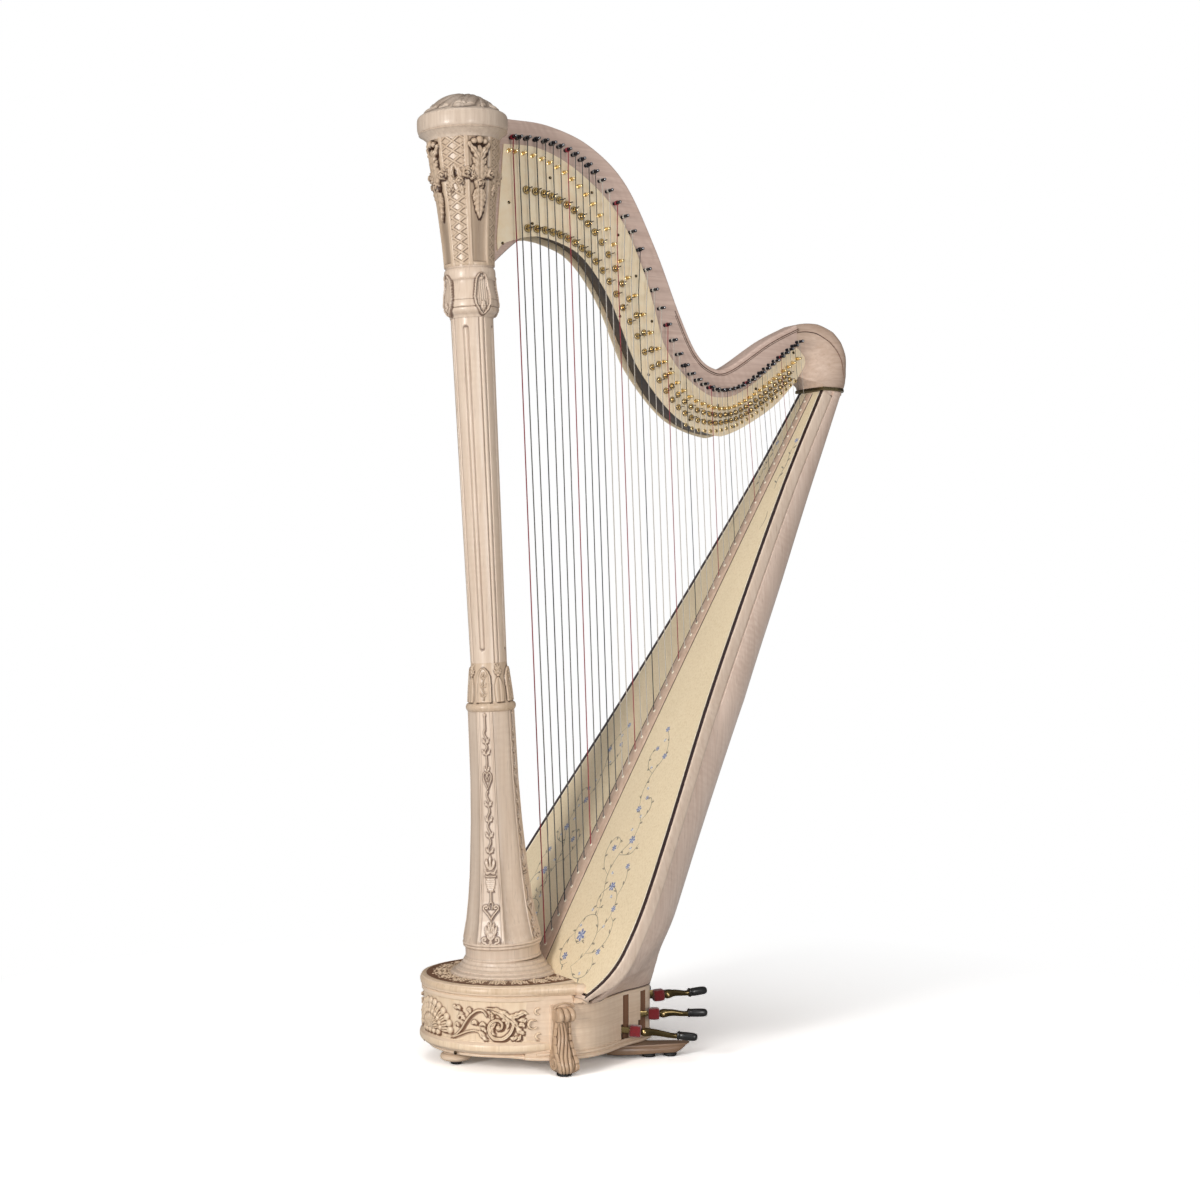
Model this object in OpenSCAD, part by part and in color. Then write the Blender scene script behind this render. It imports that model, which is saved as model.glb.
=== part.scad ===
// Concert pedal harp: leaning column, S-curved neck between two action plates, 47 strings,
// tapered soundbox and a pedal box with seven pedals.
// Frame: +Z up, X runs from the column (front) to the soundbox (rear), Y is across.
// The strings hang in the plane Y = 0 and the neck lies on the +Y side of them.
// Origin: on the floor, at the centre of the front foot's pad.

/* [Column] */
// Lean of the column towards the front, degrees
column_lean = 3.13; // [2.5:0.05:3.8]
// Radius of the shaft at its foot
shaft_r_low = 35.5; // [33:0.5:38]
// Radius of the shaft at its top
shaft_r_top = 41.5; // [39:0.5:44]
// Radius of the channel that holds the pedal rods
rod_channel_r = 24.5; // [24:0.5:27]
// Radius of the crown's rim
crown_r = 88; // [84:1:92]

/* [Base] */
// Distance from the front foot to the centre of the drum
foot_to_drum = 113; // [108:1:120]
// Radius of the drum under the column
drum_r = 172; // [168:1:176]
// Height of the drum's top
drum_top = 170; // [166:1:172]
// Height of the pedal box's top
box_top = 132; // [129:1:134]
// Wall thickness of the base
base_wall = 12; // [9:1:14]

/* [Pedals] */
// Pedal travel for one notch, degrees
notch_deg = 5.2; // [4.8:0.1:5.4]
// Distance of the pedal pivots in front of the drum's centre
pivot_x = 60; // [55:1:65]
// Height of the pedal pivots
pivot_z = 80; // [78:1:85]
// Radius of the pivot axle
axle_r = 4; // [3.5:0.1:4.2]
// Width of a pedal slot
slot_w = 15; // [14:0.5:17]

/* [Soundbox] */
// Angle of the soundboard to the floor, degrees
board_deg = 60.4; // [60:0.1:60.8]
// Length of the soundboard
board_len = 1381; // [1375:1:1385]
// Thickness of the soundboard
board_t = 3; // [2.5:0.1:3.5]
// Depth of the rim behind the soundboard
rim_depth = 26; // [22:1:30]
// Wall thickness of the soundbox shell
shell_t = 6; // [5:0.5:8]

/* [Neck] */
// Y of the neck's face on the string side
neck_face = 14; // [13.9:0.1:14.4]
// Thickness of the neck
neck_t = 53; // [50:1:56]
// Thickness of an action plate
plate_t = 2.5; // [2:0.1:2.6]

/* [Strings] */
// Radius of the lowest string
bass_r = 1.2; // [1:0.05:1.3]
// Radius of the highest string
treble_r = 0.4; // [0.35:0.05:0.5]
// Radius of a tuning pin
pin_r = 3.2; // [2.8:0.1:3.4]

/* [Hidden] */
NODES = ["base_shell", "base_bottom", "front_foot", "scroll_feet", "rear_feet", "foot_pads",
  "column_plinth", "column_pedestal", "column_collar", "column_shaft", "column_capital",
  "capital_crown", "neck", "shoulder_block", "joint_ring", "soundboard", "board_rim",
  "edge_binding", "string_rib", "string_eyelets", "soundbox_shell", "soundbox_braces",
  "action_plate_left", "action_plate_right", "plate_screws", "tuning_pins", "bridge_nuts",
  "fixed_discs", "strings_red", "strings_black", "strings_plain", "pivot_axle",
  "pedal_d", "pedal_c", "pedal_b", "pedal_e", "pedal_f", "pedal_g", "pedal_a",
  "pads_d", "pads_c", "pads_b", "pads_e", "pads_f", "pads_g", "pads_a",
  "rod_d", "rod_c", "rod_b", "rod_e", "rod_f", "rod_g", "rod_a",
  "disc_e1", "disc_f1", "disc_g1", "disc_a1", "disc_b1", "disc_c2", "disc_d2"];
node = "all";
$fn = 48;
GAP = 0.1; // clearance between stacked pieces

// ---- frames and shared shapes -------------------------------------------
// Pieces are drawn with the drum's centre at X = 0.
module from_drum() translate([foot_to_drum, 0, 0]) children();
module lean() rotate([0, -column_lean, 0]) children();

// Plate from y0 to y0 + t, drawn in X and Z
module slab(y0, t) translate([0, y0 + t, 0]) rotate([90, 0, 0]) linear_extrude(t) children();
// Cylinder along Y through the point [x, z]
module y_rod(point, y0, y1, r, facets = 20) translate([point[0], y0, point[1]])
  rotate([-90, 0, 0]) cylinder(r = r, h = y1 - y0, $fn = facets);
module x_rod(x0, length, r, facets) translate([x0, 0, 0])
  rotate([0, 90, 0]) cylinder(r = r, h = length, $fn = facets);
module turned(profile, facets = 96) rotate_extrude($fn = facets) polygon(profile);

// ---- curves -------------------------------------------------------------
function clamp(t) = max(0, min(1, t));
function catmull_rom(a, b, c, d, t) = 0.5 * (2 * b + (c - a) * t
  + (2 * a - 5 * b + 4 * c - d) * t * t + (3 * b - a - 3 * c + d) * t * t * t);
// Point at t (0 to 1) on the span that starts at points[k]
function on_span(points, k, t) = catmull_rom(points[max(k - 1, 0)], points[k],
  points[k + 1], points[min(k + 2, len(points) - 1)], t);
function spline(points, steps) = [
  for (i = [0 : len(points) - 2]) for (k = [0 : steps - 1]) on_span(points, i, k / steps),
  points[len(points) - 1]];
// Points in reverse order with y negated, leaving out the last `skip` of them
function flipped(points, skip = 0) =
  [for (i = [len(points) - 1 - skip : -1 : 0]) [points[i][0], -points[i][1]]];

// ---- soundboard frame: u up the board, n out of its front face ----------
BOARD_X = 85.7;
BOARD_Z = 209;
BOARD_LOW = -75;
BOARD_HIGH = board_len + BOARD_LOW;
function board_point(u, n) = [BOARD_X + u * cos(board_deg) - n * sin(board_deg),
                              BOARD_Z + u * sin(board_deg) + n * cos(board_deg)];
function board_x(z) = BOARD_X + (z - BOARD_Z) / tan(board_deg);
module board_frame() translate([BOARD_X, 0, BOARD_Z]) rotate([0, -board_deg, 0]) children();
// Cutter from `depth` behind the board's face to `out` in front of it
module board_block(low, length, width, depth, out) board_frame()
  translate([low, -width / 2, -depth]) cube([length, width, depth + out]);
// Everything behind the soundboard and above the pedal box
module behind_board() difference() {
  board_block(-400, 1000, 800, 600, 0.3);
  translate([-700, -500, -300]) cube([1600, 1000, 300 + box_top + 0.05]);
}

// ---- string band, points are [x, z] -------------------------------------
STRINGS = 47;
// Pins and nuts, one point every four strings from the lowest
PINS = [[12, 1810], [84, 1810], [152, 1791], [214, 1745], [286, 1648], [355, 1497],
  [413, 1383], [476, 1341], [529, 1340], [579, 1362], [629, 1397], [677, 1432], [722, 1464]];
NUTS = [[11, 1785], [83.5, 1776], [152, 1743], [216.5, 1676], [281.6, 1555], [353, 1415],
  [415.3, 1332], [478, 1303], [530, 1302], [580.5, 1326], [630.5, 1360], [679, 1396],
  [724, 1430]];
FOOT_PITCH = 14.9; // X step between string feet, closing up above string 20
MIN_DISC_DROP = 13.5;

function at_string(stations, i) = let (k = min(floor(i / 4), len(stations) - 2))
  on_span(stations, k, i / 4 - k);
function pin(i) = at_string(PINS, i);
function nut(i) = at_string(NUTS, i);
function string_r(i) = bass_r + (treble_r - bass_r) * i / (STRINGS - 1);
function bead_r(i) = 1.35 * string_r(i);
function pitch(i) = i % 7; // 0 is c

function rib_n(u) = 2.2 + 7.3 * sin(180 * pow(clamp((u + 60) / (BOARD_HIGH + 90)), 0.72));
function foot_dx(i) = FOOT_PITCH * i - 0.0805 * pow(max(0, i - 20), 2);
function foot_u(i) = let (dx = foot_dx(i))
  (dx - 1.7 + rib_n(dx / cos(board_deg)) * sin(board_deg)) / cos(board_deg);
function foot(i) = board_point(foot_u(i), rib_n(foot_u(i)) + 1.5);

function string_h(i) = nut(i)[1] - foot(i)[1];
function string_lean(i) = atan((foot(i)[0] - nut(i)[0]) / string_h(i));
function below_nut(i, drop) = nut(i) + (foot(i) - nut(i)) * drop / string_h(i);
function natural_drop(i) = max(MIN_DISC_DROP, 0.048 * string_h(i));
function sharp_drop(i) = natural_drop(i) + max(MIN_DISC_DROP, 0.050 * string_h(i));
function natural_point(i) = below_nut(i, natural_drop(i));
function sharp_point(i) = below_nut(i, sharp_drop(i));

module segment(from, to, r) {
  run = to - from;
  translate([from[0], 0, from[1]]) rotate([0, atan2(run[0], run[1]), 0])
    cylinder(r = r, h = norm(run), $fn = 16);
}
// Strings of the given pitches, each with a bead where it bends at its nut
module strings_of(pitches) for (p = pitches) for (i = [p : 7 : STRINGS - 1]) {
  to_nut = nut(i) - pin(i);
  segment(nut(i), foot(i), string_r(i));
  segment(pin(i) + to_nut / norm(to_nut) * (pin_r + 0.3), nut(i), string_r(i));
  translate([nut(i)[0], 0, nut(i)[1]]) sphere(r = bead_r(i), $fn = 24);
}
module strings_red() from_drum() color("#8e1f2c") strings_of([0]);
module strings_black() from_drum() color("#15171c") strings_of([3]);
module strings_plain() from_drum() color("#b9bcc0") strings_of([1, 2, 4, 5, 6]);

// ---- pedal layout, in the order d c b e f g a ---------------------------
SLOTS = [[191, -131], [243, -110], [280, -75], [291, 30], [278, 80], [236, 114], [186, 133]];
ARM_DEG = [-40, -26, -12, 6, 17, 29, 41];
ARM_LEN = [130, 116, 110, 106, 110, 118, 128];
FELT_START = [2.5, 3.5, 1, 1, 1, 3.5, 2]; // distance along the arm
REST_DEG = [notch_deg, 0, -notch_deg, 0, 0, 0, 0]; // positive is pedal down
LEVER_PITCH = 7;
ELBOW_X = 12; // where a lever turns towards its slot
function lever_y(k) = (k - 3) * LEVER_PITCH;
function lever_deg(k) = atan2(SLOTS[k][1] - lever_y(k), SLOTS[k][0] - ELBOW_X);
function lever_end(k) = SLOTS[k] + 7 * [cos(lever_deg(k)), sin(lever_deg(k))];

// ---- base ---------------------------------------------------------------
// Pedal box wall on the +Y side, [x, y] from the drum to the rear
BOX_WALL = spline([[40, 176], [90, 168], [140, 154], [191, 131], [240, 112], [272, 88],
  [288, 52], [293, 0]], 5);
DRUM_WALL_R = drum_r - 7;
DRUM_IN_R = DRUM_WALL_R - base_wall;
BOX_BOTTOM = 33.95;
DRUM_BOTTOM = 41.95;
FLOOR_Z = 26;
FOOT_Z = 8;
FOOT_H = FLOOR_Z - FOOT_Z - GAP;
PAD_H = FOOT_Z - GAP;
SCROLL_Z = 6;
CAVITY_Z = 30;
BEARING_Y = 30;
// Foot pads: x, y, radius, height
PADS = [[-foot_to_drum, 0, 19, PAD_H], [21, -190, 15, SCROLL_Z - GAP],
  [21, 190, 15, SCROLL_Z - GAP], [243, -132, 13, PAD_H], [243, 132, 13, PAD_H],
  [298, -150, 13, PAD_H], [298, 150, 13, PAD_H]];

// Plan of the pedal box, with the wall moved in by `inset`
module box_plan(inset) {
  wall = [for (p = BOX_WALL) p - inset * p / norm(p)];
  y = wall[0][1];
  polygon(concat([[0, y]], wall, flipped(wall, 1), [[0, -y]]));
}
module base_shell() from_drum() color("#e0cdb2") difference() {
  union() {
    difference() {
      turned([[0, DRUM_BOTTOM], [DRUM_WALL_R, DRUM_BOTTOM], [drum_r, 48], [drum_r, 60],
        [DRUM_WALL_R, 66], [DRUM_WALL_R, 140], [drum_r - 3, 142], [drum_r - 3, 148],
        [drum_r - 5, 150], [drum_r - 1, 153], [drum_r, 160], [drum_r - 3, drum_top - 2],
        [drum_r - 12, drum_top], [0, drum_top]]);
      behind_board();
    }
    translate([0, 0, BOX_BOTTOM]) linear_extrude(box_top - BOX_BOTTOM) box_plan(0);
  }
  box_cavity_h = box_top - 8 - CAVITY_Z;
  translate([0, 0, CAVITY_Z]) cylinder(r = DRUM_IN_R, h = box_cavity_h, $fn = 96);
  // The front of the drum is hollow to a greater height
  difference() {
    translate([0, 0, CAVITY_Z])
      cylinder(r = DRUM_IN_R, h = drum_top - 15 - CAVITY_Z, $fn = 96);
    translate([30, -200, 0]) cube([200, 400, 300]);
  }
  translate([0, 0, CAVITY_Z]) linear_extrude(box_cavity_h) box_plan(base_wall);
  lean() rod_channel(300);
  // Pedal slots, each widened to one side in its lower part
  for (k = [0 : 6]) translate(concat(SLOTS[k], 0)) rotate([0, 0, lever_deg(k)]) {
    translate([-25, -slot_w / 2, 40]) cube([60, slot_w, 86]);
    translate([-25, -slot_w / 2 - 5, 40]) cube([60, slot_w + 5, 30]);
  }
}
// Floor of the drum and box, with two bearings for the pivot axle
module base_bottom() from_drum() color("#cbb393") {
  difference() {
    union() {
      translate([0, 0, FLOOR_Z]) linear_extrude(7.9) {
        box_plan(-3);
        circle(r = drum_r - 12, $fn = 96);
      }
      translate([0, 0, 33]) cylinder(r = drum_r - 9, h = 8.9, $fn = 96);
    }
    translate([0, 0, 33.9]) linear_extrude(20) difference() {
      box_plan(-4);
      circle(r = drum_r - 22, $fn = 96);
    }
  }
  bearing_z = 41.5;
  for (y = [-BEARING_Y, BEARING_Y]) difference() {
    translate([-pivot_x - 12, y - 5, bearing_z]) cube([24, 10, pivot_z - bearing_z + 12]);
    y_rod([-pivot_x, pivot_z], y - 6, y + 6, axle_r + 0.05, 48);
  }
}
module front_foot() from_drum() color("#d8c2a4") translate([-foot_to_drum, 0, FOOT_Z])
  turned([[0, 0], [22, 0], [31, 5], [31, 11], [24, FOOT_H], [0, FOOT_H]], 48);
// One on each side of the drum; profile is [distance from Y = 0, z]
module scroll_feet() from_drum() color("#d8c2a4") for (side = [-1, 1]) difference() {
  translate([-7, 0, 0])
    multmatrix([[0, 0, 1, 0], [side, 0, 0, 0], [0, 1, 0, 0], [0, 0, 0, 1]])
    linear_extrude(56) polygon(concat(
      [[150, SCROLL_Z], [202, SCROLL_Z]],
      [for (a = [-60 : 20 : 60]) [190, 26] + 22 * [cos(a), sin(a)]],
      [[190, 62], [188, 78]],
      [for (a = [-40 : 20 : 90]) [182, 108] + 18 * [cos(a), sin(a)]],
      [[150, 126]]));
  translate([0, 0, -1]) cylinder(r = drum_r + 0.3, h = 200, $fn = 96);
  translate([0, 0, -1]) linear_extrude(140) box_plan(-3.3);
}
module rear_feet() from_drum() color("#d8c2a4") for (side = [-1, 1]) scale([1, side, 1])
  translate([0, 0, FOOT_Z]) linear_extrude(FOOT_H)
  polygon([[150, 92], [176, 128], [312, 166], [322, 158], [322, 140], [232, 92]]);
module foot_pads() from_drum() color("#1a1a1a") for (p = PADS)
  translate([p[0], p[1], 0]) cylinder(r = p[2], h = p[3]);

// ---- column: heights run along its leaning axis; profiles are [r, z] ----
PLINTH_TOP = 200;
PEDESTAL_TOP = 684;
COLLAR_TOP = 778;
SHAFT_TOP = 1446;
CAPITAL_TOP = 1788;
FOOT_OUT = 4.5; // how far the plinth and pedestal stand off the soundboard

module rod_channel(h) cylinder(r = rod_channel_r, h = h);
// The plinth stands upright
module column_plinth() from_drum() color("#e2d0b6") difference() {
  translate([-9.5, 0, 0]) turned([[0, drum_top + GAP], [101, drum_top + GAP],
    [101, drum_top + 5], [93, drum_top + 9], [90, 184], [80, 192], [77, PLINTH_TOP],
    [0, PLINTH_TOP]]);
  lean() rod_channel(300);
  behind_board();
  board_block(-60, 200, 62, 50, FOOT_OUT);
}
// Eight-sided pedestal on a round base
module column_pedestal() from_drum() color("#e2d0b6") difference() {
  lean() union() {
    rotate([0, 0, 22.5]) turned([[0, 228], [80, 228], [62, 318], [54, 405], [46.5, 550],
      [45, PEDESTAL_TOP], [0, PEDESTAL_TOP]], 8);
    translate([0, 0, 190]) cylinder(r = 73, h = 42, $fn = 96);
  }
  lean() rod_channel(700);
  translate([-200, -200, 0]) cube([400, 400, PLINTH_TOP + GAP]);
  board_block(-60, 300, 800, 300, FOOT_OUT);
}
module column_collar() from_drum() color("#e2d0b6") lean() difference() {
  turned([[0, PEDESTAL_TOP + GAP], [45, PEDESTAL_TOP + GAP], [47.5, 690], [47.5, 700],
    [45, 705], [43, 712], [44, 730], [38, 772], [36.5, COLLAR_TOP], [0, COLLAR_TOP]], 72);
  rod_channel(900);
}
module column_shaft() from_drum() color("#e6d6be") lean() difference() {
  z = COLLAR_TOP + GAP;
  translate([0, 0, z]) cylinder(r1 = shaft_r_low, r2 = shaft_r_top, h = SHAFT_TOP - z, $fn = 96);
  rod_channel(1500);
}
module column_capital() from_drum() color("#e0cdb4") lean() difference() {
  turned([[0, SHAFT_TOP + GAP], [44, SHAFT_TOP + GAP], [51, 1458], [52, 1474], [49, 1498],
    [47, 1519], [48.5, 1524], [48.5, 1540], [47.5, 1545], [48, 1560], [50, 1592], [54, 1640],
    [57, 1672], [61, 1700], [66, 1742], [69, 1762], [66, 1782], [70, CAPITAL_TOP],
    [0, CAPITAL_TOP]]);
  rod_channel(1776);
}
module capital_crown() from_drum() color("#e8dac4") lean()
  turned([[0, CAPITAL_TOP + GAP], [70, CAPITAL_TOP + GAP], [78, 1796], [80, 1804],
    [crown_r - 2, 1807], [crown_r, 1816], [crown_r, 1830], [crown_r - 3, 1838], [74, 1842],
    [66, 1850], [52, 1860], [40, 1872], [24, 1880], [0, 1883]]);

// ---- neck: edges are [x, z], top edge rearward, low edge forward --------
NECK_END = 704;
NECK_TOP = [[-60, 1846], [16, 1848], [100, 1845], [193, 1816], [278, 1748], [350, 1622],
  [408, 1492], [450, 1414], [490, 1384], [532, 1389], [629, 1451], [NECK_END, 1488]];
NECK_LOW = [[NECK_END, 1378], [638, 1313], [565, 1268], [530, 1250], [493, 1247],
  [440, 1260], [386, 1290], [339, 1341], [290, 1426], [249, 1508], [213, 1563], [178, 1599],
  [130, 1622], [60, 1629], [-20, 1610], [-60, 1600]];
PLATE_TOP = [[-4, 1796], [60, 1798], [110, 1786], [150, 1768], [190, 1743], [240, 1702],
  [283, 1645], [324, 1558], [347, 1489], [366, 1428], [398, 1382], [436, 1349], [474, 1327],
  [502, 1322], [541, 1328], [589, 1355], [638, 1392], [690, 1434], [706, 1436]];
PLATE_LOW = [[722, 1420], [722, 1400], [688, 1354], [638, 1307], [565, 1263], [517, 1243],
  [493, 1242], [445, 1254], [398, 1276], [352, 1317], [306, 1373], [283, 1415], [249, 1491],
  [213, 1547], [178, 1585], [142, 1606], [73, 1621], [8, 1605], [-12, 1592], [-21, 1576]];
NECK_FAR = neck_face + neck_t;     // Y of the face away from the strings
PLATE_NEAR = neck_face - plate_t;  // Y of the string-side plate's outer face
PLATE_GAP = 0.05;
LIVE_FIRST = 2; // strings whose natural discs are nodes of their own
LIVE_LAST = 8;

// Room for the capital and crown
module column_cut() lean() {
  translate([0, 0, 1400]) cylinder(r = 70.5, h = CAPITAL_TOP - 1400, $fn = 96);
  translate([0, 0, CAPITAL_TOP - 1]) cylinder(r = crown_r + 0.4, h = 100, $fn = 96);
}
module neck() from_drum() color("#dcc6b2") difference() {
  slab(neck_face, neck_t) polygon(concat(spline(NECK_TOP, 5), spline(NECK_LOW, 4)));
  column_cut();
}
module plate_outline() polygon(concat(spline(PLATE_TOP, 3), spline(PLATE_LOW, 3)));
// String-side plate, bored for the spindles of the live discs
module action_plate_left() from_drum() color("#e8d6a8") difference() {
  slab(PLATE_NEAR - PLATE_GAP, plate_t) plate_outline();
  for (i = [LIVE_FIRST : LIVE_LAST]) y_rod(natural_point(i), 0, 20, 2.25, 24);
  column_cut();
}
module action_plate_right() from_drum() color("#e8d6a8") difference() {
  slab(NECK_FAR + PLATE_GAP, plate_t) plate_outline();
  column_cut();
}
// Joins the neck's rear end to the joint ring
module shoulder_block() from_drum() color("#dcc6b2") difference() {
  hull() {
    translate([NECK_END + 0.2, neck_face, 1386]) cube([8, neck_t, 100]);
    translate([0, 0, SOUNDBOX_TOP + 8.2]) linear_extrude(3) ring_plan(-1);
    translate([0, 0, 1400]) linear_extrude(3) ring_plan(-2);
    y_rod([760, 1453], -12, 60, 52, 40);
  }
  translate([690, -60, 1300]) cube([18, 73.5, 300]);
  y_rod(pin(STRINGS - 1), -60, 140, pin_r + 0.4);
  slab(PLATE_NEAR - 0.3, plate_t + 0.6) plate_outline();
  translate([600, -80, 1300]) cube([NECK_END + GAP - 600, 200, 300]);
}

// ---- soundbox -----------------------------------------------------------
SOUNDBOX_TOP = 1343;
// Half width of the soundboard: u, half width
BOARD_HALF_W = [[-75, 216], [-55, 238], [-25, 263], [10, 279], [50, 283], [110, 279],
  [179, 266], [307, 235], [565, 169], [820, 117], [1083, 71], [1306, 47]];
TIP_HALF_W = BOARD_HALF_W[len(BOARD_HALF_W) - 1][1];
// Values of u for the outline, between the board's ends
OUTLINE_U = [-66, -55, -40, -25, -8, 10, 30, 50, 80, 110, 145, 179, 240, 307, 390, 475, 565,
  690, 820, 950, 1083, 1200];
BINDING_OUT = 8;  // insets from the outline
BINDING_IN = 13;
RIM_IN = 18;
OVERRUN = 20;     // how far cutters pass the board's top end

function half_w(u) = lookup(u, BOARD_HALF_W);
module outline(inset, overrun = 0) {
  low = BOARD_LOW + inset;
  side = concat([[low, half_w(low) - inset]],
    [for (u = OUTLINE_U) if (u > low + 1) [u, half_w(u) - inset]],
    [[BOARD_HIGH + overrun, TIP_HALF_W - inset]]);
  polygon(concat(side, flipped(side)));
}
module top_cut() translate([0, -200, SOUNDBOX_TOP]) cube([1200, 400, 600]);
module soundboard() from_drum() color("#eedcb4") difference() {
  board_frame() translate([0, 0, -board_t]) linear_extrude(board_t) outline(BINDING_IN + GAP);
  top_cut();
}
module edge_binding() from_drum() color("#3a221a") difference() {
  board_frame() translate([0, 0, -board_t]) linear_extrude(board_t + 0.3) difference() {
    outline(BINDING_OUT + 0.05);
    outline(BINDING_IN, OVERRUN);
  }
  top_cut();
}
module board_rim() from_drum() color("#dfc9ac") difference() {
  board_frame() difference() {
    translate([0, 0, -rim_depth]) linear_extrude(rim_depth) outline(0);
    translate([0, 0, -board_t - 0.05]) linear_extrude(10) outline(BINDING_OUT, OVERRUN);
    translate([0, 0, -rim_depth - 1]) linear_extrude(rim_depth + 10) outline(RIM_IN, OVERRUN);
  }
  top_cut();
  translate([-300, -400, 0]) cube([900, 800, box_top + 0.2]);
}
// Tapered strip down the middle of the board, under the string feet
module string_rib() from_drum() color("#dfc4a4") difference() {
  board_frame() intersection() {
    slab(-60, 120) polygon(concat([for (u = [-20 : 50 : BOARD_HIGH + 30]) [u, rib_n(u)]],
      [[BOARD_HIGH + 24, 0.05], [-20, 0.05]]));
    linear_extrude(40) polygon([[BOARD_LOW, -30], [BOARD_HIGH + 20, -14],
      [BOARD_HIGH + 20, 14], [BOARD_LOW, 30]]);
  }
  top_cut();
}
module string_eyelets() from_drum() color("#f0e6d0") for (i = [0 : STRINGS - 1])
  board_frame() translate([foot_u(i), 0, rib_n(foot_u(i)) + 0.15]) difference() {
    cylinder(r = 3.1, h = 1, $fn = 20);
    translate([0, 0, -1]) cylinder(r = 1.6, h = 3, $fn = 16);
  }

// Shell: z, distance in X from the board's face to the rear of the shell
SHELL_REACH = [[132, 250], [160, 233], [190, 220], [250, 208], [310, 199], [430, 181],
  [545, 166], [662, 152.5], [780, 141], [898, 130], [1000, 118], [1200, 88], [1343, 61]];
// Shell: z, greatest half width near the foot
SHELL_FOOT_W = [[132, 200], [145, 220], [160, 236], [178, 246], [200, 262], [240, 290]];
SHELL_Z = [132.2, 160, 200, 250, 310, 400, 500, 620, 740, 860, 980, 1100, 1220, 1342.9];
ARC_STEPS = 24;

function shell_rear(z) = board_x(z) + lookup(z, SHELL_REACH);
function shell_front(z) = board_x(z) + rim_depth / sin(board_deg) + 0.4;
function shell_half_w(z) =
  let (u = (z - BOARD_Z) / sin(board_deg) + rim_depth / tan(board_deg))
  min(half_w(max(-40, u)) - 1, 246 - 0.14 * u + 18 * clamp((u - 560) / 500),
    lookup(z, SHELL_FOOT_W));
// Half-oval arc at height z, moved in by `inset`
function shell_arc(z, inset) = let (w = shell_half_w(z) - inset, front = shell_front(z),
    depth = shell_rear(z) - front - inset)
  [for (k = [0 : ARC_STEPS]) let (a = 180 * k / ARC_STEPS, c = cos(a))
    [front + depth * pow(sin(a), 0.95), w * sign(c) * pow(abs(c), 0.94), z]];
// Outer arc, then the inner arc backwards
function shell_ring(z) = let (inner = shell_arc(z, shell_t))
  concat(shell_arc(z, 0), [for (k = [ARC_STEPS : -1 : 0]) inner[k]]);

module soundbox_shell() from_drum() color("#dfc9ac") {
  count = 2 * (ARC_STEPS + 1); // points in a ring
  last = len(SHELL_Z) - 1;
  top = last * count;
  difference() {
    polyhedron(points = [for (z = SHELL_Z) each shell_ring(z)],
      faces = concat(
        [for (j = [0 : last - 1]) for (k = [0 : count - 1])
          let (a = j * count + k, b = j * count + (k + 1) % count)
          each [[a, b, b + count], [a, b + count, a + count]]],
        [for (k = [0 : ARC_STEPS - 1]) let (m = count - 1 - k)
          each [[k, m, m - 1], [k, m - 1, k + 1]]],
        [for (k = [0 : ARC_STEPS - 1]) let (o = top + k, m = top + count - 1 - k)
          each [[o, m - 1, m], [o, o + 1, m - 1]]]));
    // Five oval openings in the rear
    for (z = [330, 520, 700, 870, 1030])
      translate([shell_front(z) + lookup(z, SHELL_REACH) - 110, 0, z])
        rotate([0, 90 - 22.3, 0]) scale([1.15, 0.30 * shell_half_w(z) / 70, 1])
        cylinder(r = 62 - (z - 330) * 0.03, h = 260, $fn = 28);
  }
}
module soundbox_braces() from_drum() color("#c9b08c") for (u = [60, 330, 600, 860, 1090]) {
  reach = half_w(u + 10) - 24;
  board_frame() translate([u - 6, -reach, -board_t - 23]) cube([12, 2 * reach, 22.9]);
}
// D-shaped plan of the joint, flat to the front, grown by `grow`
module ring_plan(grow) {
  flat_x = 727 - grow;
  w = 49 + grow;
  polygon(concat([[flat_x, w]],
    [for (a = [80 : -10 : -80])
      [764 + (48 + grow) * cos(a), w * sin(a) * (abs(a) > 75 ? 0.995 : 1)]],
    [[flat_x, -w]]));
}
module joint_ring() from_drum() color("#4a463a") translate([0, 0, SOUNDBOX_TOP + GAP])
  linear_extrude(7.9) ring_plan(3);

// ---- action -------------------------------------------------------------
FLAT_TURN = 75; // turn of a disc's prongs from the string, degrees
NATURAL_TURN = 54;
SHARP_TURN = 33;
REST_TURN = [NATURAL_TURN, SHARP_TURN, NATURAL_TURN, NATURAL_TURN, NATURAL_TURN,
  NATURAL_TURN, FLAT_TURN]; // c d e f g a b
NUT_R = 2.4;
SCREW_R = 3;
SCREWS = [[-6, 1600], [8, 1682], [100, 1740], [196, 1720], [258, 1640], [300, 1560],
  [338, 1470], [384, 1375], [500, 1305], [596, 1345], [693, 1427], [60, 1645], [180, 1600],
  [262, 1475], [330, 1360], [430, 1272], [540, 1262], [640, 1326]];

module tuning_pins() from_drum() color("#1c2430") for (i = [0 : STRINGS - 1])
  y_rod(pin(i), -13, NECK_FAR + 22, pin_r);
// Each nut lies just in front of its string's bead
module bridge_nuts() from_drum() color("#c9a253") for (i = [0 : STRINGS - 1])
  y_rod(nut(i) - [NUT_R + bead_r(i) + 0.15, 1], -4, PLATE_NEAR - 0.1, NUT_R, 16);
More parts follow.
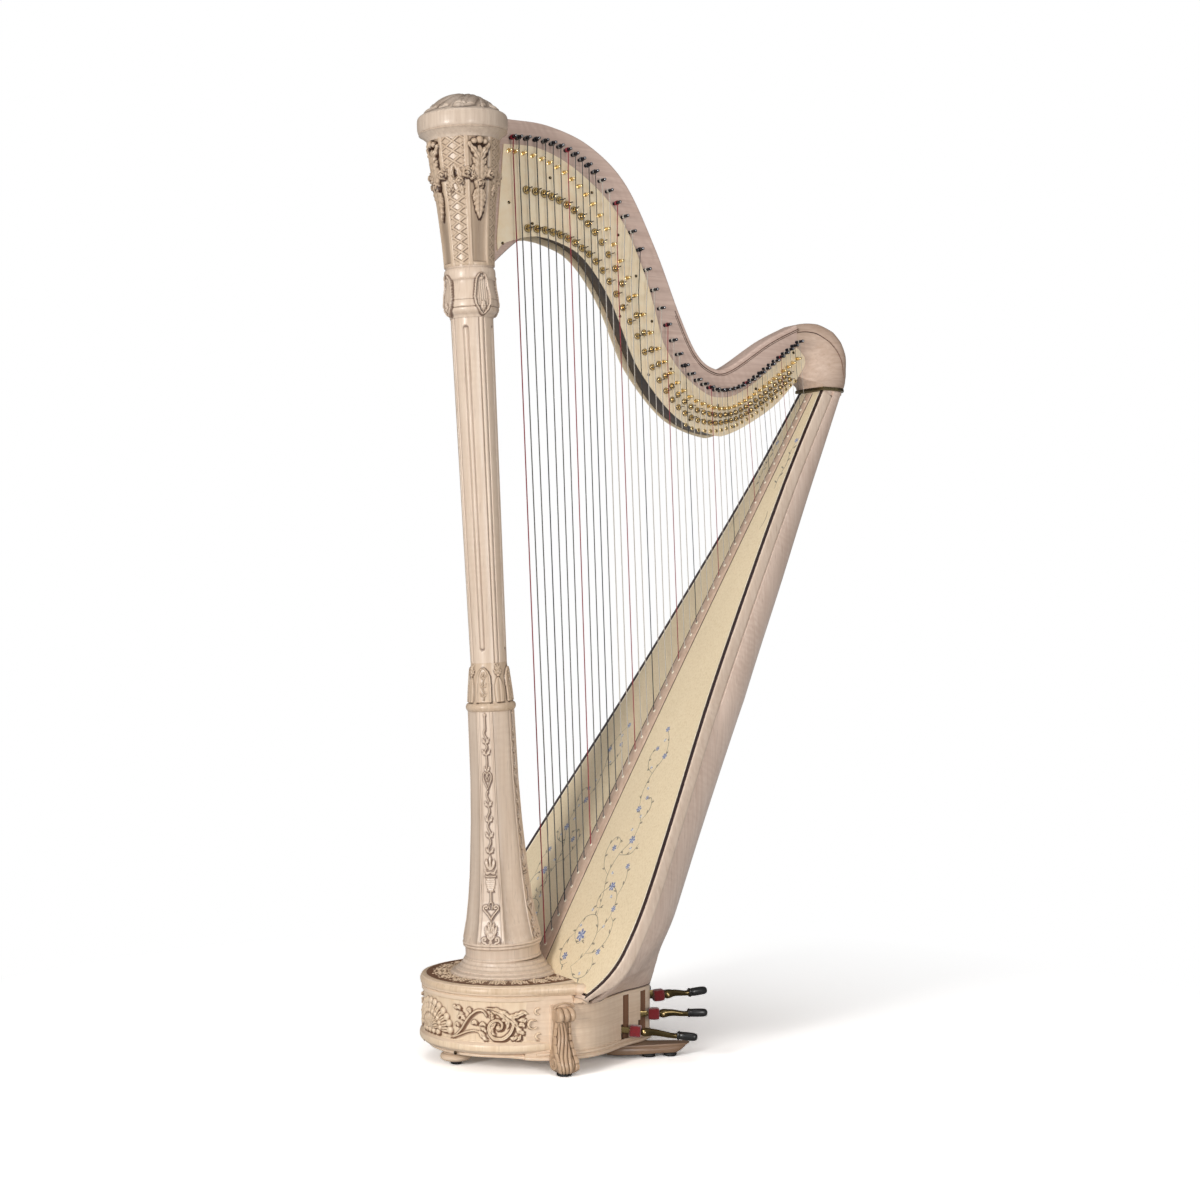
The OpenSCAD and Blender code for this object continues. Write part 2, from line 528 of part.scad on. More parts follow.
// Disc with a spindle towards the neck and two prongs astride the string
module disc(i, point, turn, spindle_end) {
  r = max(4.6, 8 - 0.105 * i);
  a = 90 - turn + string_lean(i);
  y_rod(point, 6.2, 9.2, r, 28);
  y_rod(point, 9.2, spindle_end, 2.2, 20);
  for (s = [-1, 1]) y_rod(point + s * (r - 1.6) * [cos(a), sin(a)], -5, 6.3, 0.165 * r, 16);
}
module live_disc(i) color("#b8924a")
  disc(i, natural_point(i), REST_TURN[pitch(i)], neck_face - 0.2);
module fixed_discs() from_drum() color("#b8924a") for (i = [2 : 44]) {
  stop = PLATE_NEAR - 0.1;
  if (i > LIVE_LAST) disc(i, natural_point(i), max(38, REST_TURN[pitch(i)]), stop);
  disc(i, sharp_point(i), pitch(i) == 1 ? 35 : FLAT_TURN, stop);
}
module plate_screws() from_drum() color("#8a6a34")
  for (p = SCREWS) for (y = [PLATE_NEAR - 1.6, NECK_FAR + plate_t + 0.1])
    y_rod(p, y, y + 1.5, SCREW_R);

// ---- pedals -------------------------------------------------------------
ARM_W = 9;
// Turned about the pivot, with X = 0 at the drum's centre and Z = 0 at the pivot
module at_pedal(k) translate([-pivot_x, 0, pivot_z]) rotate([0, REST_DEG[k], 0])
  translate([pivot_x, 0, 0]) children();
// X runs along the pedal's arm from the lever's end
module at_arm(k) translate(concat(lever_end(k), 0)) rotate([0, 0, ARM_DEG[k]]) children();
module lever_bar(from, to) {
  run = to - from;
  translate(concat(from, 0)) rotate([0, 0, atan2(run[1], run[0])])
    translate([0, -2.5, -6]) cube([norm(run), 5, 12]);
}
module pedal(k) color("#4b3b24") at_pedal(k) difference() {
  y = lever_y(k);
  elbow = [ELBOW_X, y];
  union() {
    y_rod([-pivot_x, 0], y - 3, y + 3, 9, 48);
    lever_bar([-pivot_x, y], elbow);
    translate(concat(elbow, -6.3)) cylinder(r = 2.9, h = 12.6);
    lever_bar(elbow, lever_end(k));
    translate(concat(lever_end(k), -6.6)) cylinder(r = 5.2, h = 13.2);
    at_arm(k) translate([0, -ARM_W / 2, -ARM_W / 2]) cube([ARM_LEN[k] - 30, ARM_W, ARM_W]);
    at_arm(k) x_rod(ARM_LEN[k] - 31, 27, 4, 24);
  }
  y_rod([-pivot_x, 0], y - 4, y + 4, axle_r + 0.05, 48);
}
// Black sleeve on the arm's tip and red block around its inner end
module pads(k) at_pedal(k) at_arm(k) {
  color("#151515") difference() {
    x_rod(ARM_LEN[k] - 29, 34, 11, 32);
    x_rod(ARM_LEN[k] - 30, 27, 4.05, 24);
  }
  color("#8c1f24") difference() {
    hole_w = ARM_W + 0.1;
    translate([FELT_START[k], -10, -11]) cube([22, 20, 22]);
    translate([-9, -hole_w / 2, -hole_w / 2]) cube([50, hole_w, hole_w]);
    translate([0, 0, -6.7]) cylinder(r = 5.3, h = 13.4);
  }
}
// Rod in the column, raised or lowered with its pedal
module rod(k) color("#b5a27a") lean() {
  z = pivot_z + 12;
  translate([0, lever_y(k), z - pivot_x * tan(REST_DEG[k])])
    cylinder(r = 2, h = 1745 - z, $fn = 20);
}
module pivot_axle() from_drum() color("#8a8a8a")
  y_rod([-pivot_x, pivot_z], -37, 37, axle_r, 32);

module pedal_d() from_drum() pedal(0);
module pedal_c() from_drum() pedal(1);
module pedal_b() from_drum() pedal(2);
module pedal_e() from_drum() pedal(3);
module pedal_f() from_drum() pedal(4);
module pedal_g() from_drum() pedal(5);
module pedal_a() from_drum() pedal(6);
module pads_d() from_drum() pads(0);
module pads_c() from_drum() pads(1);
module pads_b() from_drum() pads(2);
module pads_e() from_drum() pads(3);
module pads_f() from_drum() pads(4);
module pads_g() from_drum() pads(5);
module pads_a() from_drum() pads(6);
module rod_d() from_drum() rod(0);
module rod_c() from_drum() rod(1);
module rod_b() from_drum() rod(2);
module rod_e() from_drum() rod(3);
module rod_f() from_drum() rod(4);
module rod_g() from_drum() rod(5);
module rod_a() from_drum() rod(6);
module disc_e1() from_drum() live_disc(2);
module disc_f1() from_drum() live_disc(3);
module disc_g1() from_drum() live_disc(4);
module disc_a1() from_drum() live_disc(5);
module disc_b1() from_drum() live_disc(6);
module disc_c2() from_drum() live_disc(7);
module disc_d2() from_drum() live_disc(8);

function on(name) = node == "all" || node == name;
if (on("base_shell")) base_shell();
if (on("base_bottom")) base_bottom();
if (on("front_foot")) front_foot();
if (on("scroll_feet")) scroll_feet();
if (on("rear_feet")) rear_feet();
if (on("foot_pads")) foot_pads();
if (on("column_plinth")) column_plinth();
if (on("column_pedestal")) column_pedestal();
if (on("column_collar")) column_collar();
if (on("column_shaft")) column_shaft();
if (on("column_capital")) column_capital();
if (on("capital_crown")) capital_crown();
if (on("neck")) neck();
if (on("shoulder_block")) shoulder_block();
if (on("joint_ring")) joint_ring();
if (on("soundboard")) soundboard();
if (on("board_rim")) board_rim();
if (on("edge_binding")) edge_binding();
if (on("string_rib")) string_rib();
if (on("string_eyelets")) string_eyelets();
if (on("soundbox_shell")) soundbox_shell();
if (on("soundbox_braces")) soundbox_braces();
if (on("action_plate_left")) action_plate_left();
if (on("action_plate_right")) action_plate_right();
if (on("plate_screws")) plate_screws();
if (on("tuning_pins")) tuning_pins();
if (on("bridge_nuts")) bridge_nuts();
if (on("fixed_discs")) fixed_discs();
if (on("strings_red")) strings_red();
if (on("strings_black")) strings_black();
if (on("strings_plain")) strings_plain();
if (on("pivot_axle")) pivot_axle();
if (on("pedal_d")) pedal_d();
if (on("pedal_c")) pedal_c();
if (on("pedal_b")) pedal_b();
if (on("pedal_e")) pedal_e();
if (on("pedal_f")) pedal_f();
if (on("pedal_g")) pedal_g();
if (on("pedal_a")) pedal_a();
if (on("pads_d")) pads_d();
if (on("pads_c")) pads_c();
if (on("pads_b")) pads_b();
if (on("pads_e")) pads_e();
if (on("pads_f")) pads_f();
if (on("pads_g")) pads_g();
if (on("pads_a")) pads_a();
if (on("rod_d")) rod_d();
if (on("rod_c")) rod_c();
if (on("rod_b")) rod_b();
if (on("rod_e")) rod_e();
if (on("rod_f")) rod_f();
if (on("rod_g")) rod_g();
if (on("rod_a")) rod_a();
if (on("disc_e1")) disc_e1();
if (on("disc_f1")) disc_f1();
if (on("disc_g1")) disc_g1();
if (on("disc_a1")) disc_a1();
if (on("disc_b1")) disc_b1();
if (on("disc_c2")) disc_c2();
if (on("disc_d2")) disc_d2();
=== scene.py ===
# A pedal harp with a carved column, standing on the floor at z = 0.
# The column stands at the front (-X), the soundbox slopes up at the rear (+X), Y runs across.
# The strings hang in the plane y = 0, string 0 nearest the column, and the neck lies on their
# +Y side. Shapes are worked out in millimetres with x = 0 at the middle of the base's round
# drum; to_frame() takes them to the frame, in metres.
import bpy
import bmesh
import math
import numpy as np
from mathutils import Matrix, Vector


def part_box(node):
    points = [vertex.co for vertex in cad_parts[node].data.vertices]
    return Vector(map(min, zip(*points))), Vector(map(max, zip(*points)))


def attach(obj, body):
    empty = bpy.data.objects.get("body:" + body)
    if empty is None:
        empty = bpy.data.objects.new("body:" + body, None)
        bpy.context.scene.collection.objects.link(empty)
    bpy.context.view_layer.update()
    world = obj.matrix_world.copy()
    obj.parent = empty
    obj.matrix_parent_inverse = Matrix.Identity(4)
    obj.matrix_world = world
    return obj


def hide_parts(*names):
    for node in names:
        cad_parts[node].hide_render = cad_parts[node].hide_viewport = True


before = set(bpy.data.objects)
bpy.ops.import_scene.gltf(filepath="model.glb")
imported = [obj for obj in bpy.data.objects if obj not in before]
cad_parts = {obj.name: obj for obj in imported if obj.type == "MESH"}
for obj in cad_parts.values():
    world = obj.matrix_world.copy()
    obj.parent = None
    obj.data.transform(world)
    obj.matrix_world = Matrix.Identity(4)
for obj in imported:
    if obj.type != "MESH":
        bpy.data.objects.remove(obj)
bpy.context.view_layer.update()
SCENE = bpy.context.scene

FRONT_FOOT_X = -113
foot_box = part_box("front_foot")
DRUM_X = (foot_box[0].x + foot_box[1].x) / 2 - FRONT_FOOT_X / 1000  # drum centre, metres

LEAN = math.radians(3.13)           # the column's head leans towards -X
BOARD_ANGLE = math.radians(60.4)    # slope of the soundboard above the floor
BOARD_COS, BOARD_SIN = math.cos(BOARD_ANGLE), math.sin(BOARD_ANGLE)
BOARD_X, BOARD_Z = 85.7, 209.0      # zero point of lengths along the board
BOARD_FOOT, BOARD_HEAD = -75.0, 1306.0  # the board's ends, measured along it
RIM_DEPTH = 26                      # depth of the rim behind the board's plane
BOTH = (-1, 1)                      # the two sides of the harp, or of a motif


# ---------------------------------------------------------------- points and curves
def to_frame(points):
    points = np.array(points, float) / 1000.0
    points[..., 0] += DRUM_X
    return points


def xyz(x, y, z):
    """Points from coordinates that broadcast together."""
    return np.stack(np.broadcast_arrays(x, y, z), -1)


def leaned(points):
    x, y, z = np.moveaxis(points, -1, 0)
    cos, sin = math.cos(LEAN), math.sin(LEAN)
    return xyz(x * cos - z * sin, y, x * sin + z * cos)


def board(along, across, out):
    """Points placed by length up the soundboard, across it, and out towards the strings."""
    return xyz(BOARD_X + np.asarray(along) * BOARD_COS - np.asarray(out) * BOARD_SIN, across,
               BOARD_Z + np.asarray(along) * BOARD_SIN + np.asarray(out) * BOARD_COS)


def curve_piece(points, k, part):
    """Point of the Catmull-Rom curve a given part of the way from point k to the next."""
    a, b = points[max(k - 1, 0)], points[k]
    c, d = points[k + 1], points[min(k + 2, len(points) - 1)]
    return 0.5 * (2 * b + (c - a) * part + (2 * a - 5 * b + 4 * c - d) * part * part
                  + (3 * b - a - 3 * c + d) * part ** 3)


def curve_at(points, place):
    points = np.asarray(points, float)
    k = int(min(max(math.floor(place), 0), len(points) - 2))
    return curve_piece(points, k, place - k)


def curve(points, steps=8):
    """Smooth curve through the points, with the given steps between two of them."""
    points = np.array(points, float)
    return np.array([curve_piece(points, i, k / steps)
                     for i in range(len(points) - 1) for k in range(steps)] + [points[-1]])


def lookup(value, table):
    """Reads a table of (station, value) rows at value, with straight lines between rows."""
    table = np.asarray(table, float)
    return np.interp(value, table[:, 0], table[:, 1])


def circle(count):
    return np.arange(count) / count * 2 * np.pi


def polar(radius, angle):
    return np.stack([radius * np.cos(angle), radius * np.sin(angle)], -1)


def spiral(centre, start_radius, end_radius, start_degrees, turns, count):
    part = np.linspace(0, 1, count)
    radius = start_radius + (end_radius - start_radius) * part ** 0.85
    return centre + polar(radius, np.radians(start_degrees) + turns * 2 * np.pi * part)


def unit(vectors):
    return vectors / np.linalg.norm(vectors, axis=-1, keepdims=True)


def clamp(value):
    return np.clip(value, 0, 1)


def smooth(start, end, value):
    """Smooth step from 0 at start to 1 at end."""
    part = clamp((value - start) / (end - start))
    return part * part * (3 - 2 * part)


def dome(value, power=0.5):
    """Rounded section: 1 in the middle, 0 from value = 1 outwards."""
    return clamp(1 - value ** 2) ** power


def signed_power(value, power):
    return np.sign(value) * np.abs(value) ** power


def wrapped(value, period):
    """Value brought into the period centred on zero."""
    return (value + period / 2) % period - period / 2


def both_sides(outline):
    """Half outline followed by its mirror image across y = 0."""
    return np.concatenate([outline, outline[::-1][1:] * [1, -1]])


# ---------------------------------------------------------------- strings
# (x, z) of the tuning pins and of the nuts at every fourth string
PINS = [(12, 1810), (84, 1810), (152, 1791), (214, 1745), (286, 1648), (355, 1497), (413, 1383),
        (476, 1341), (529, 1340), (579, 1362), (629, 1397), (677, 1432), (722, 1464)]
NUTS = [(11, 1785), (83.5, 1776), (152, 1743), (216.5, 1676), (281.6, 1555), (353, 1415),
        (415.3, 1332), (478, 1303), (530, 1302), (580.5, 1326), (630.5, 1360), (679, 1396),
        (724, 1430)]
STRINGS = 47


def pin(i):
    return curve_at(PINS, i / 4)


def nut(i):
    return curve_at(NUTS, i / 4)


def string_radius(i):
    return 1.2 - 0.8 * i / (STRINGS - 1)


def rib_height(along):
    """Height of the string rib above the board's plane."""
    part = clamp((np.asarray(along, float) + 60) / (BOARD_HEAD + 90))
    return 2.2 + 7.3 * np.sin(np.pi * part ** 0.72)


def foot_along(i):
    """Length up the board at which a string leaves it."""
    step = 14.9 * i - 0.0805 * max(0, i - 20) ** 2
    return (step - 1.7 + float(rib_height(step / BOARD_COS)) * BOARD_SIN) / BOARD_COS


def string_foot(i):
    return board(foot_along(i), 0, rib_height(foot_along(i)) + 1.5)


def string_length(i):
    return nut(i)[1] - string_foot(i)[2]


def upper_disc_z(i):
    return nut(i)[1] - max(13.5, 0.048 * string_length(i))


def lower_disc_z(i):
    return upper_disc_z(i) - max(13.5, 0.050 * string_length(i))


def string_x(i, z):
    top_x, top_z = nut(i)
    foot = string_foot(i)
    return top_x + (foot[0] - top_x) * (top_z - z) / (top_z - foot[2])


def string_lean(i):
    """Lean of a string from upright, in degrees."""
    return math.degrees(math.atan((string_foot(i)[0] - nut(i)[0]) / string_length(i)))


# ---------------------------------------------------------------- meshes
def grid_faces(rows, columns, wrap=True):
    """Faces of a row-major grid of points; wrap joins the last column to the first."""
    i, j = np.meshgrid(np.arange(rows - 1), np.arange(columns if wrap else columns - 1),
                       indexing="ij")
    k = (j + 1) % columns
    corners = [i * columns + j, i * columns + k, (i + 1) * columns + k, (i + 1) * columns + j]
    return np.stack(corners, -1).reshape(-1, 4)


class Piece:
    """One object in the making. cavity, from 0 to 1, darkens the wood: patina and painted shade
    in its hollows, painted shadows beside raised parts.
    """

    def __init__(self):
        self.points, self.faces, self.cavity, self.count = [], [], [], 0

    def add(self, points, faces, cavity=0.0):
        points = np.asarray(points, float).reshape(-1, 3)
        self.points.append(points)
        self.faces += [part + self.count for part in faces]
        self.cavity.append(np.broadcast_to(np.ravel(cavity), len(points)))
        self.count += len(points)
        return self

    def wall(self, rings):
        """Closed rings joined, open at both ends."""
        return self.add(rings, [grid_faces(*rings.shape[:2])])

    def loft(self, rings, cavity=0.0):
        """Closed rings (rows, points, 3) joined and capped at both ends."""
        rings = np.asarray(rings, float)
        rows, n = rings.shape[:2]
        points = np.concatenate([rings.reshape(-1, 3), [rings[0].mean(0), rings[-1].mean(0)]])
        j = np.arange(n)
        k = (j + 1) % n
        last = (rows - 1) * n
        low = np.stack([k, j, np.full(n, rows * n)], -1)
        top = np.stack([last + j, last + k, np.full(n, rows * n + 1)], -1)
        cavity = np.broadcast_to(np.ravel(cavity), rows * n)
        cavity = np.concatenate([cavity, [cavity[:n].mean(), cavity[-n:].mean()]])
        return self.add(points, [grid_faces(rows, n), low, top], cavity)

    def strip(self, lines):
        """Solid bar whose long edges are the given lines, in order round its section."""
        return self.loft(np.swapaxes(np.array(lines), 0, 1))

    def lathe(self, profile, segments=96, centre=(0, 0), lean=False):
        """Solid turned on an upright axis from (radius, z) rows."""
        profile = np.asarray(profile, float)
        average = profile[:, 0]
        for _ in range(10):
            padded = np.pad(average, 1, mode="edge")
            average = (padded[:-2] + padded[2:] + 2 * padded[1:-1]) / 4
        # the hollows between the members of a moulding get a little patina and painted shade
        cavity = np.clip((average - profile[:, 0]) / 1.1, 0, 0.75) * (profile[:, 0] > 12)
        radius, z = profile.T[..., None]
        angles = circle(segments)
        rings = xyz(radius * np.cos(angles) + centre[0], radius * np.sin(angles) + centre[1], z)
        return self.loft(leaned(rings) if lean else rings, np.repeat(cavity, segments))

    def turned(self, x, z, profile, segments=20, start=0.0):
        """Solid turned on an axis along Y at (x, z), from (radius, y) rows."""
        radius, y = np.array(profile, float).T[..., None]
        angles = start + circle(segments)
        return self.loft(xyz(x + radius * np.cos(angles), y, z + radius * np.sin(angles)))

    def tube(self, path, radius, segments=12, cavity=0.0):
        """Round bar along a path; radius is one number or one for each point."""
        path = np.asarray(path, float)
        along = unit(np.gradient(path, axis=0))
        side = np.cross((0, 0, 1.0) if abs(along[0][2]) < 0.9 else (0, 1.0, 0), along[0])
        cos, sin = polar(1, circle(segments)).T[..., None]
        rings = []
        for point, ahead, size in zip(path, along, np.broadcast_to(radius, len(path))):
            side = unit(side - ahead * (side @ ahead))
            rings.append(point + size * (cos * side + sin * np.cross(ahead, side)))
        return self.loft(rings, cavity)

    def sweep(self, path, half_width, half_height, place, segments, power):
        """Rounded-square bar along a path, with half sizes per point, moved by place."""
        path = np.asarray(path, float)
        along = unit(np.gradient(path, axis=0))
        wide, high = signed_power(polar(1, circle(segments)), 2 / power).T[..., None]
        rings = []
        for k, ahead in enumerate(along):
            side = unit(np.cross([0, 0, 1.0], ahead))
            up = np.cross(ahead, side)
            rings.append(path[k] + wide * half_width[k] * side + high * half_height[k] * up)
        return self.loft(place(np.array(rings)))

    def build(self, name, material, slot, replaces=None, body="frame", angle=40):
        """Makes the object; edges sharper than angle degrees stay sharp."""
        mesh = bpy.data.meshes.new(name)
        points = to_frame(np.concatenate(self.points))
        loops = np.concatenate([part.ravel() for part in self.faces]).astype(np.int32)
        sizes = np.concatenate([np.full(len(part), part.shape[1]) for part in self.faces])
        starts = np.concatenate([[0], np.cumsum(sizes)[:-1]]).astype(np.int32)
        mesh.vertices.add(len(points))
        mesh.vertices.foreach_set("co", points.astype(np.float32).ravel())
        mesh.loops.add(len(loops))
        mesh.loops.foreach_set("vertex_index", loops)
        mesh.polygons.add(len(sizes))
        mesh.polygons.foreach_set("loop_start", starts)
        mesh.update(calc_edges=True)
        mesh.validate()
        work = bmesh.new()
        work.from_mesh(mesh)
        bmesh.ops.recalc_face_normals(work, faces=work.faces[:])
        work.to_mesh(mesh)
        work.free()
        attribute = mesh.attributes.new("cav", "FLOAT", "POINT")
        attribute.data.foreach_set("value", np.concatenate(self.cavity).astype(np.float32))
        mesh.polygons.foreach_set("use_smooth", np.ones(len(mesh.polygons), bool))
        mesh.set_sharp_from_angle(angle=math.radians(angle))
        obj = bpy.data.objects.new(name, mesh)
        SCENE.collection.objects.link(obj)
        mesh.materials.append(material)
        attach(obj, body)
        if replaces:
            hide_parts(replaces)
        return obj


def facing_rings(centre, normal, first, second, profile, segments):
    """Rings of (radius, rise) rows round a centre; rise runs along the normal."""
    cos, sin = polar(1, circle(segments)).T[..., None]
    return np.array([centre + normal * rise + radius * (cos * first + sin * second)
                     for radius, rise in profile])


def cut_at_board(obj):
    """Cuts away what would stand out behind the soundboard and closes the cut."""
    work = bmesh.new()
    work.from_mesh(obj.data)
    cut = bmesh.ops.bisect_plane(
        work, geom=work.verts[:] + work.edges[:] + work.faces[:], dist=1e-7, clear_inner=True,
        plane_co=tuple(to_frame(board(0, 0, 0.4))), plane_no=(-BOARD_SIN, 0, BOARD_COS))
    edges = [part for part in cut["geom_cut"] if isinstance(part, bmesh.types.BMEdge)]
    bmesh.ops.holes_fill(work, edges=edges, sides=0)
    work.to_mesh(obj.data)
    work.free()
    obj.data.set_sharp_from_angle(angle=math.radians(40))


# ---------------------------------------------------------------- carving
class Relief:
    """Heights of a carving over a sheet whose points have flat coordinates across and up.

    Motifs only ever raise the sheet, so their order doesn't matter. With sides=BOTH a motif
    is also drawn mirrored across the line across = 0.
    """

    def __init__(self, height, across, up):
        self.height, self.across, self.up = height, across, up

    def raise_to(self, index, value):
        flat = self.height.reshape(-1)
        flat[index] = np.maximum(flat[index], value)

    def nearest(self, line, reach):
        """Points near a line: their index, distance, and the part of the line beside them."""
        low, high = line.min(0) - reach, line.max(0) + reach
        index = np.flatnonzero((self.across > low[0]) & (self.across < high[0])
                               & (self.up > low[1]) & (self.up < high[1]))
        x, y = self.across.ravel()[index], self.up.ravel()[index]
        away, part = np.full(len(x), 1e9), np.zeros(len(x))
        steps = np.diff(line, axis=0)
        lengths = np.hypot(steps[:, 0], steps[:, 1])
        passed = np.concatenate([[0], np.cumsum(lengths)])
        for k, (step, length) in enumerate(zip(steps, lengths)):
            if length < 1e-9:
                continue
            dx, dy = x - line[k, 0], y - line[k, 1]
            share = clamp((dx * step[0] + dy * step[1]) / length ** 2)
            gap = np.hypot(dx - share * step[0], dy - share * step[1])
            closer = gap < away
            away[closer] = gap[closer]
            part[closer] = ((passed[k] + share * length) / passed[-1])[closer]
        return index, away, part

    def stroke(self, line, width, height, groove=0.0, sides=(1,)):
        """Rounded cord; width is its half-width, or a tuple of them spread along it."""
        widths = np.atleast_1d(width)
        for side in sides:
            index, away, part = self.nearest(np.array(line, float) * [side, 1],
                                             widths.max() + 1)
            half = np.interp(part, np.linspace(0, 1, len(widths)), widths)
            bulge = dome(away / half)
            value = height * bulge * (1 - groove * np.exp(-(away / (0.32 * half)) ** 2))
            on = bulge > 0
            self.raise_to(index[on], value[on])

    def leaf(self, line, width, height, lobes=4, vein=0.35, base=0.25, sides=(1,)):
        """Lobed leaf along a line; base is its relative width at the root."""
        line = curve(line, 6) if len(line) < 6 else np.array(line, float)
        for side in sides:
            index, away, part = self.nearest(line * [side, 1], width * 1.1 + 1)
            half = width * (base + (1 - base) * np.sin(np.pi * clamp(part) ** 0.75) ** 0.8)
            half = half * clamp((1.02 - part) * 5) ** 0.6
            phase = 2 * np.pi * (lobes * part - 0.35 * away / width)
            half = half * (1 - 0.26 * (0.5 + 0.5 * np.cos(phase)) * (part < 0.93))
            bulge = dome(away / np.maximum(half, 1e-3), 1)
            value = height * bulge ** 0.42 * (1 - vein * np.exp(-(away / (0.16 * width)) ** 2))
            value = value * (0.9 + 0.14 * np.cos(phase + np.pi))
            value = value * (0.72 + 0.28 * np.sin(np.pi * part))
            on = bulge > 0
            self.raise_to(index[on], value[on])

    def rose(self, centre, radius, height, turn=0.0):
        dx, dy = self.across - centre[0], self.up - centre[1]
        away = np.hypot(dx, dy) / radius
        index = np.flatnonzero(away < 1.05)
        away = away.ravel()[index]
        angle = np.arctan2(dy, dx).ravel()[index] + turn
        edge = 0.93 + 0.07 * np.cos(5 * angle)
        arms = 2.3 * away ** 0.8 - angle / (2 * np.pi)
        petals = np.abs((arms % 1.0) - 0.5) * 2
        value = height * dome(away / edge) * (0.62 + 0.38 * clamp(petals * 1.6))
        value = value * (0.85 + 0.15 * np.cos(3 * angle + 9 * away))
        value = np.where(away < 0.2, height * 0.95, value)
        on = away < edge
        self.raise_to(index[on], value[on])

    def dot(self, centre, radius, height, sides=(1,)):
        for side in sides:
            bulge = clamp(1 - ((self.across - side * centre[0]) ** 2
                               + (self.up - centre[1]) ** 2) / radius ** 2)
            index = np.flatnonzero(bulge > 0)
            self.raise_to(index, height * bulge.ravel()[index] ** 0.5)


def blurred(heights, passes, wrap):
    for _ in range(passes):
        padded = np.pad(heights, ((1, 1), (0, 0)), mode="edge")
        heights = (padded[:-2] + padded[2:] + 2 * heights) / 4
        padded = np.pad(heights, ((0, 0), (1, 1)), mode="wrap" if wrap else "edge")
        heights = (padded[:, :-2] + padded[:, 2:] + 2 * heights) / 4
    return heights


def hollows(heights, passes, depth, wrap=True):
    """Patina and painted shade in places lower than their surroundings, full at the given depth.
    """
    return clamp((blurred(heights, passes, wrap) - heights) / depth)


def shadows(heights, reach, slope, depth, wrap=True):
    """Painted shadow below and to one side of raised carving, up to reach grid steps away."""
    drop = np.zeros_like(heights)
    for k in range(1, reach + 1):
        if wrap:
            beside = np.roll(heights, k, axis=1)
        else:
            beside = np.pad(heights, ((0, 0), (k, 0)), mode="edge")[:, :-k]
        above = np.pad(heights, ((0, k), (0, 0)), mode="edge")[k:]
        both = np.pad(beside, ((0, k), (0, 0)), mode="edge")[k:]
        highest = np.maximum(np.maximum(beside, above), both)
        drop = np.maximum(drop, highest - heights - slope * k)
    return clamp(drop / depth)


def turned_grid(z, angles, profile):
    """Radius and height at each point of a turned sheet, from (z, radius) rows."""
    ones = np.ones((len(z), len(angles)))
    return lookup(z, profile)[:, None] * ones, z[:, None] * ones


def sector(angles, radius, centre):
    """Distance round the column from the nearest of four centres a quarter turn apart."""
    return wrapped(angles - centre, math.pi / 2)[None, :] * radius


def column_piece(z, angles, radius, cavity):
    rings = xyz(radius * np.cos(angles), radius * np.sin(angles), z[:, None])
    return Piece().loft(leaned(rings), cavity)


# ---------------------------------------------------------------- materials
def srgb(rgb):
    """Linear RGBA colour from 8-bit sRGB values."""
    parts = [v / 255 for v in rgb]
    return (*(v / 12.92 if v <= 0.04045 else ((v + 0.055) / 1.055) ** 2.4 for v in parts), 1.0)


class Nodes:
    """Builds a node tree; an input may be given a plain value or another node's output."""

    def __init__(self, tree):
        self.tree = tree
        tree.nodes.clear()

    def put(self, socket, value):
        if isinstance(value, bpy.types.NodeSocket):
            self.tree.links.new(value, socket)
        else:
            socket.default_value = value

    def node(self, kind, inputs=None, **settings):
        node = self.tree.nodes.new("ShaderNode" + kind)
        for name, value in settings.items():
            setattr(node, name, value)
        for key, value in (inputs or {}).items():
            self.put(node.inputs[key], value)
        return node

    def math(self, operation, *values):
        return self.node("Math", dict(enumerate(values)), operation=operation).outputs[0]

    def ramp(self, factor, *stops):
        """Colour ramp of (position, colour or grey) stops."""
        node = self.node("ValToRGB", {0: factor})
        elements = node.color_ramp.elements
        while len(elements) < len(stops):
            elements.new(0.5)
        for element, (position, colour) in zip(elements, stops):
            element.position = position
            element.color = colour if isinstance(colour, tuple) else (colour,) * 3 + (1.0,)
        return node.outputs[0]


class Surface(Nodes):
    """Node tree of one material, with a Principled shader on its output."""

    def __init__(self, name):
        self.material = bpy.data.materials.new(name)
        self.material.use_nodes = True
        super().__init__(self.material.node_tree)
        self.output = self.node("OutputMaterial")
        self.shader = self.node("BsdfPrincipled")
        self.put(self.output.inputs[0], self.shader.outputs[0])

    def coords(self, scale=(1, 1, 1), tilt=0):
        """Object coordinates turned by tilt degrees about Y, then scaled."""
        inputs = {"Vector": self.node("TexCoord").outputs["Object"], "Scale": scale,
                  "Rotation": (0, math.radians(tilt), 0)}
        return self.node("Mapping", inputs).outputs[0]

    def noise(self, vector, scale=1.0, detail=4, rough=0.5, distortion=0.0):
        inputs = {"Vector": vector, "Scale": scale, "Detail": detail, "Roughness": rough,
                  "Distortion": distortion}
        return self.node("TexNoise", inputs).outputs[0]

    def wave(self, vector, scale, distortion, detail, axis="Z", detail_scale=1.0):
        inputs = {"Vector": vector, "Scale": scale, "Distortion": distortion,
                  "Detail": detail, "Detail Scale": detail_scale}
        return self.node("TexWave", inputs, bands_direction=axis).outputs["Fac"]

    def mix(self, factor, first, second, mode="MIX"):
        inputs = {0: factor, 6: first, 7: second}
        return self.node("Mix", inputs, data_type="RGBA", blend_type=mode).outputs[2]

    def bump(self, height, strength, distance):
        inputs = {"Height": height, "Strength": strength, "Distance": distance}
        self.put(self.shader.inputs["Normal"], self.node("Bump", inputs).outputs[0])

    def finish(self, **inputs):
        for name, value in inputs.items():
            self.put(self.shader.inputs[name.replace("_", " ")], value)
        return self.material


DARK = (96, 60, 38)


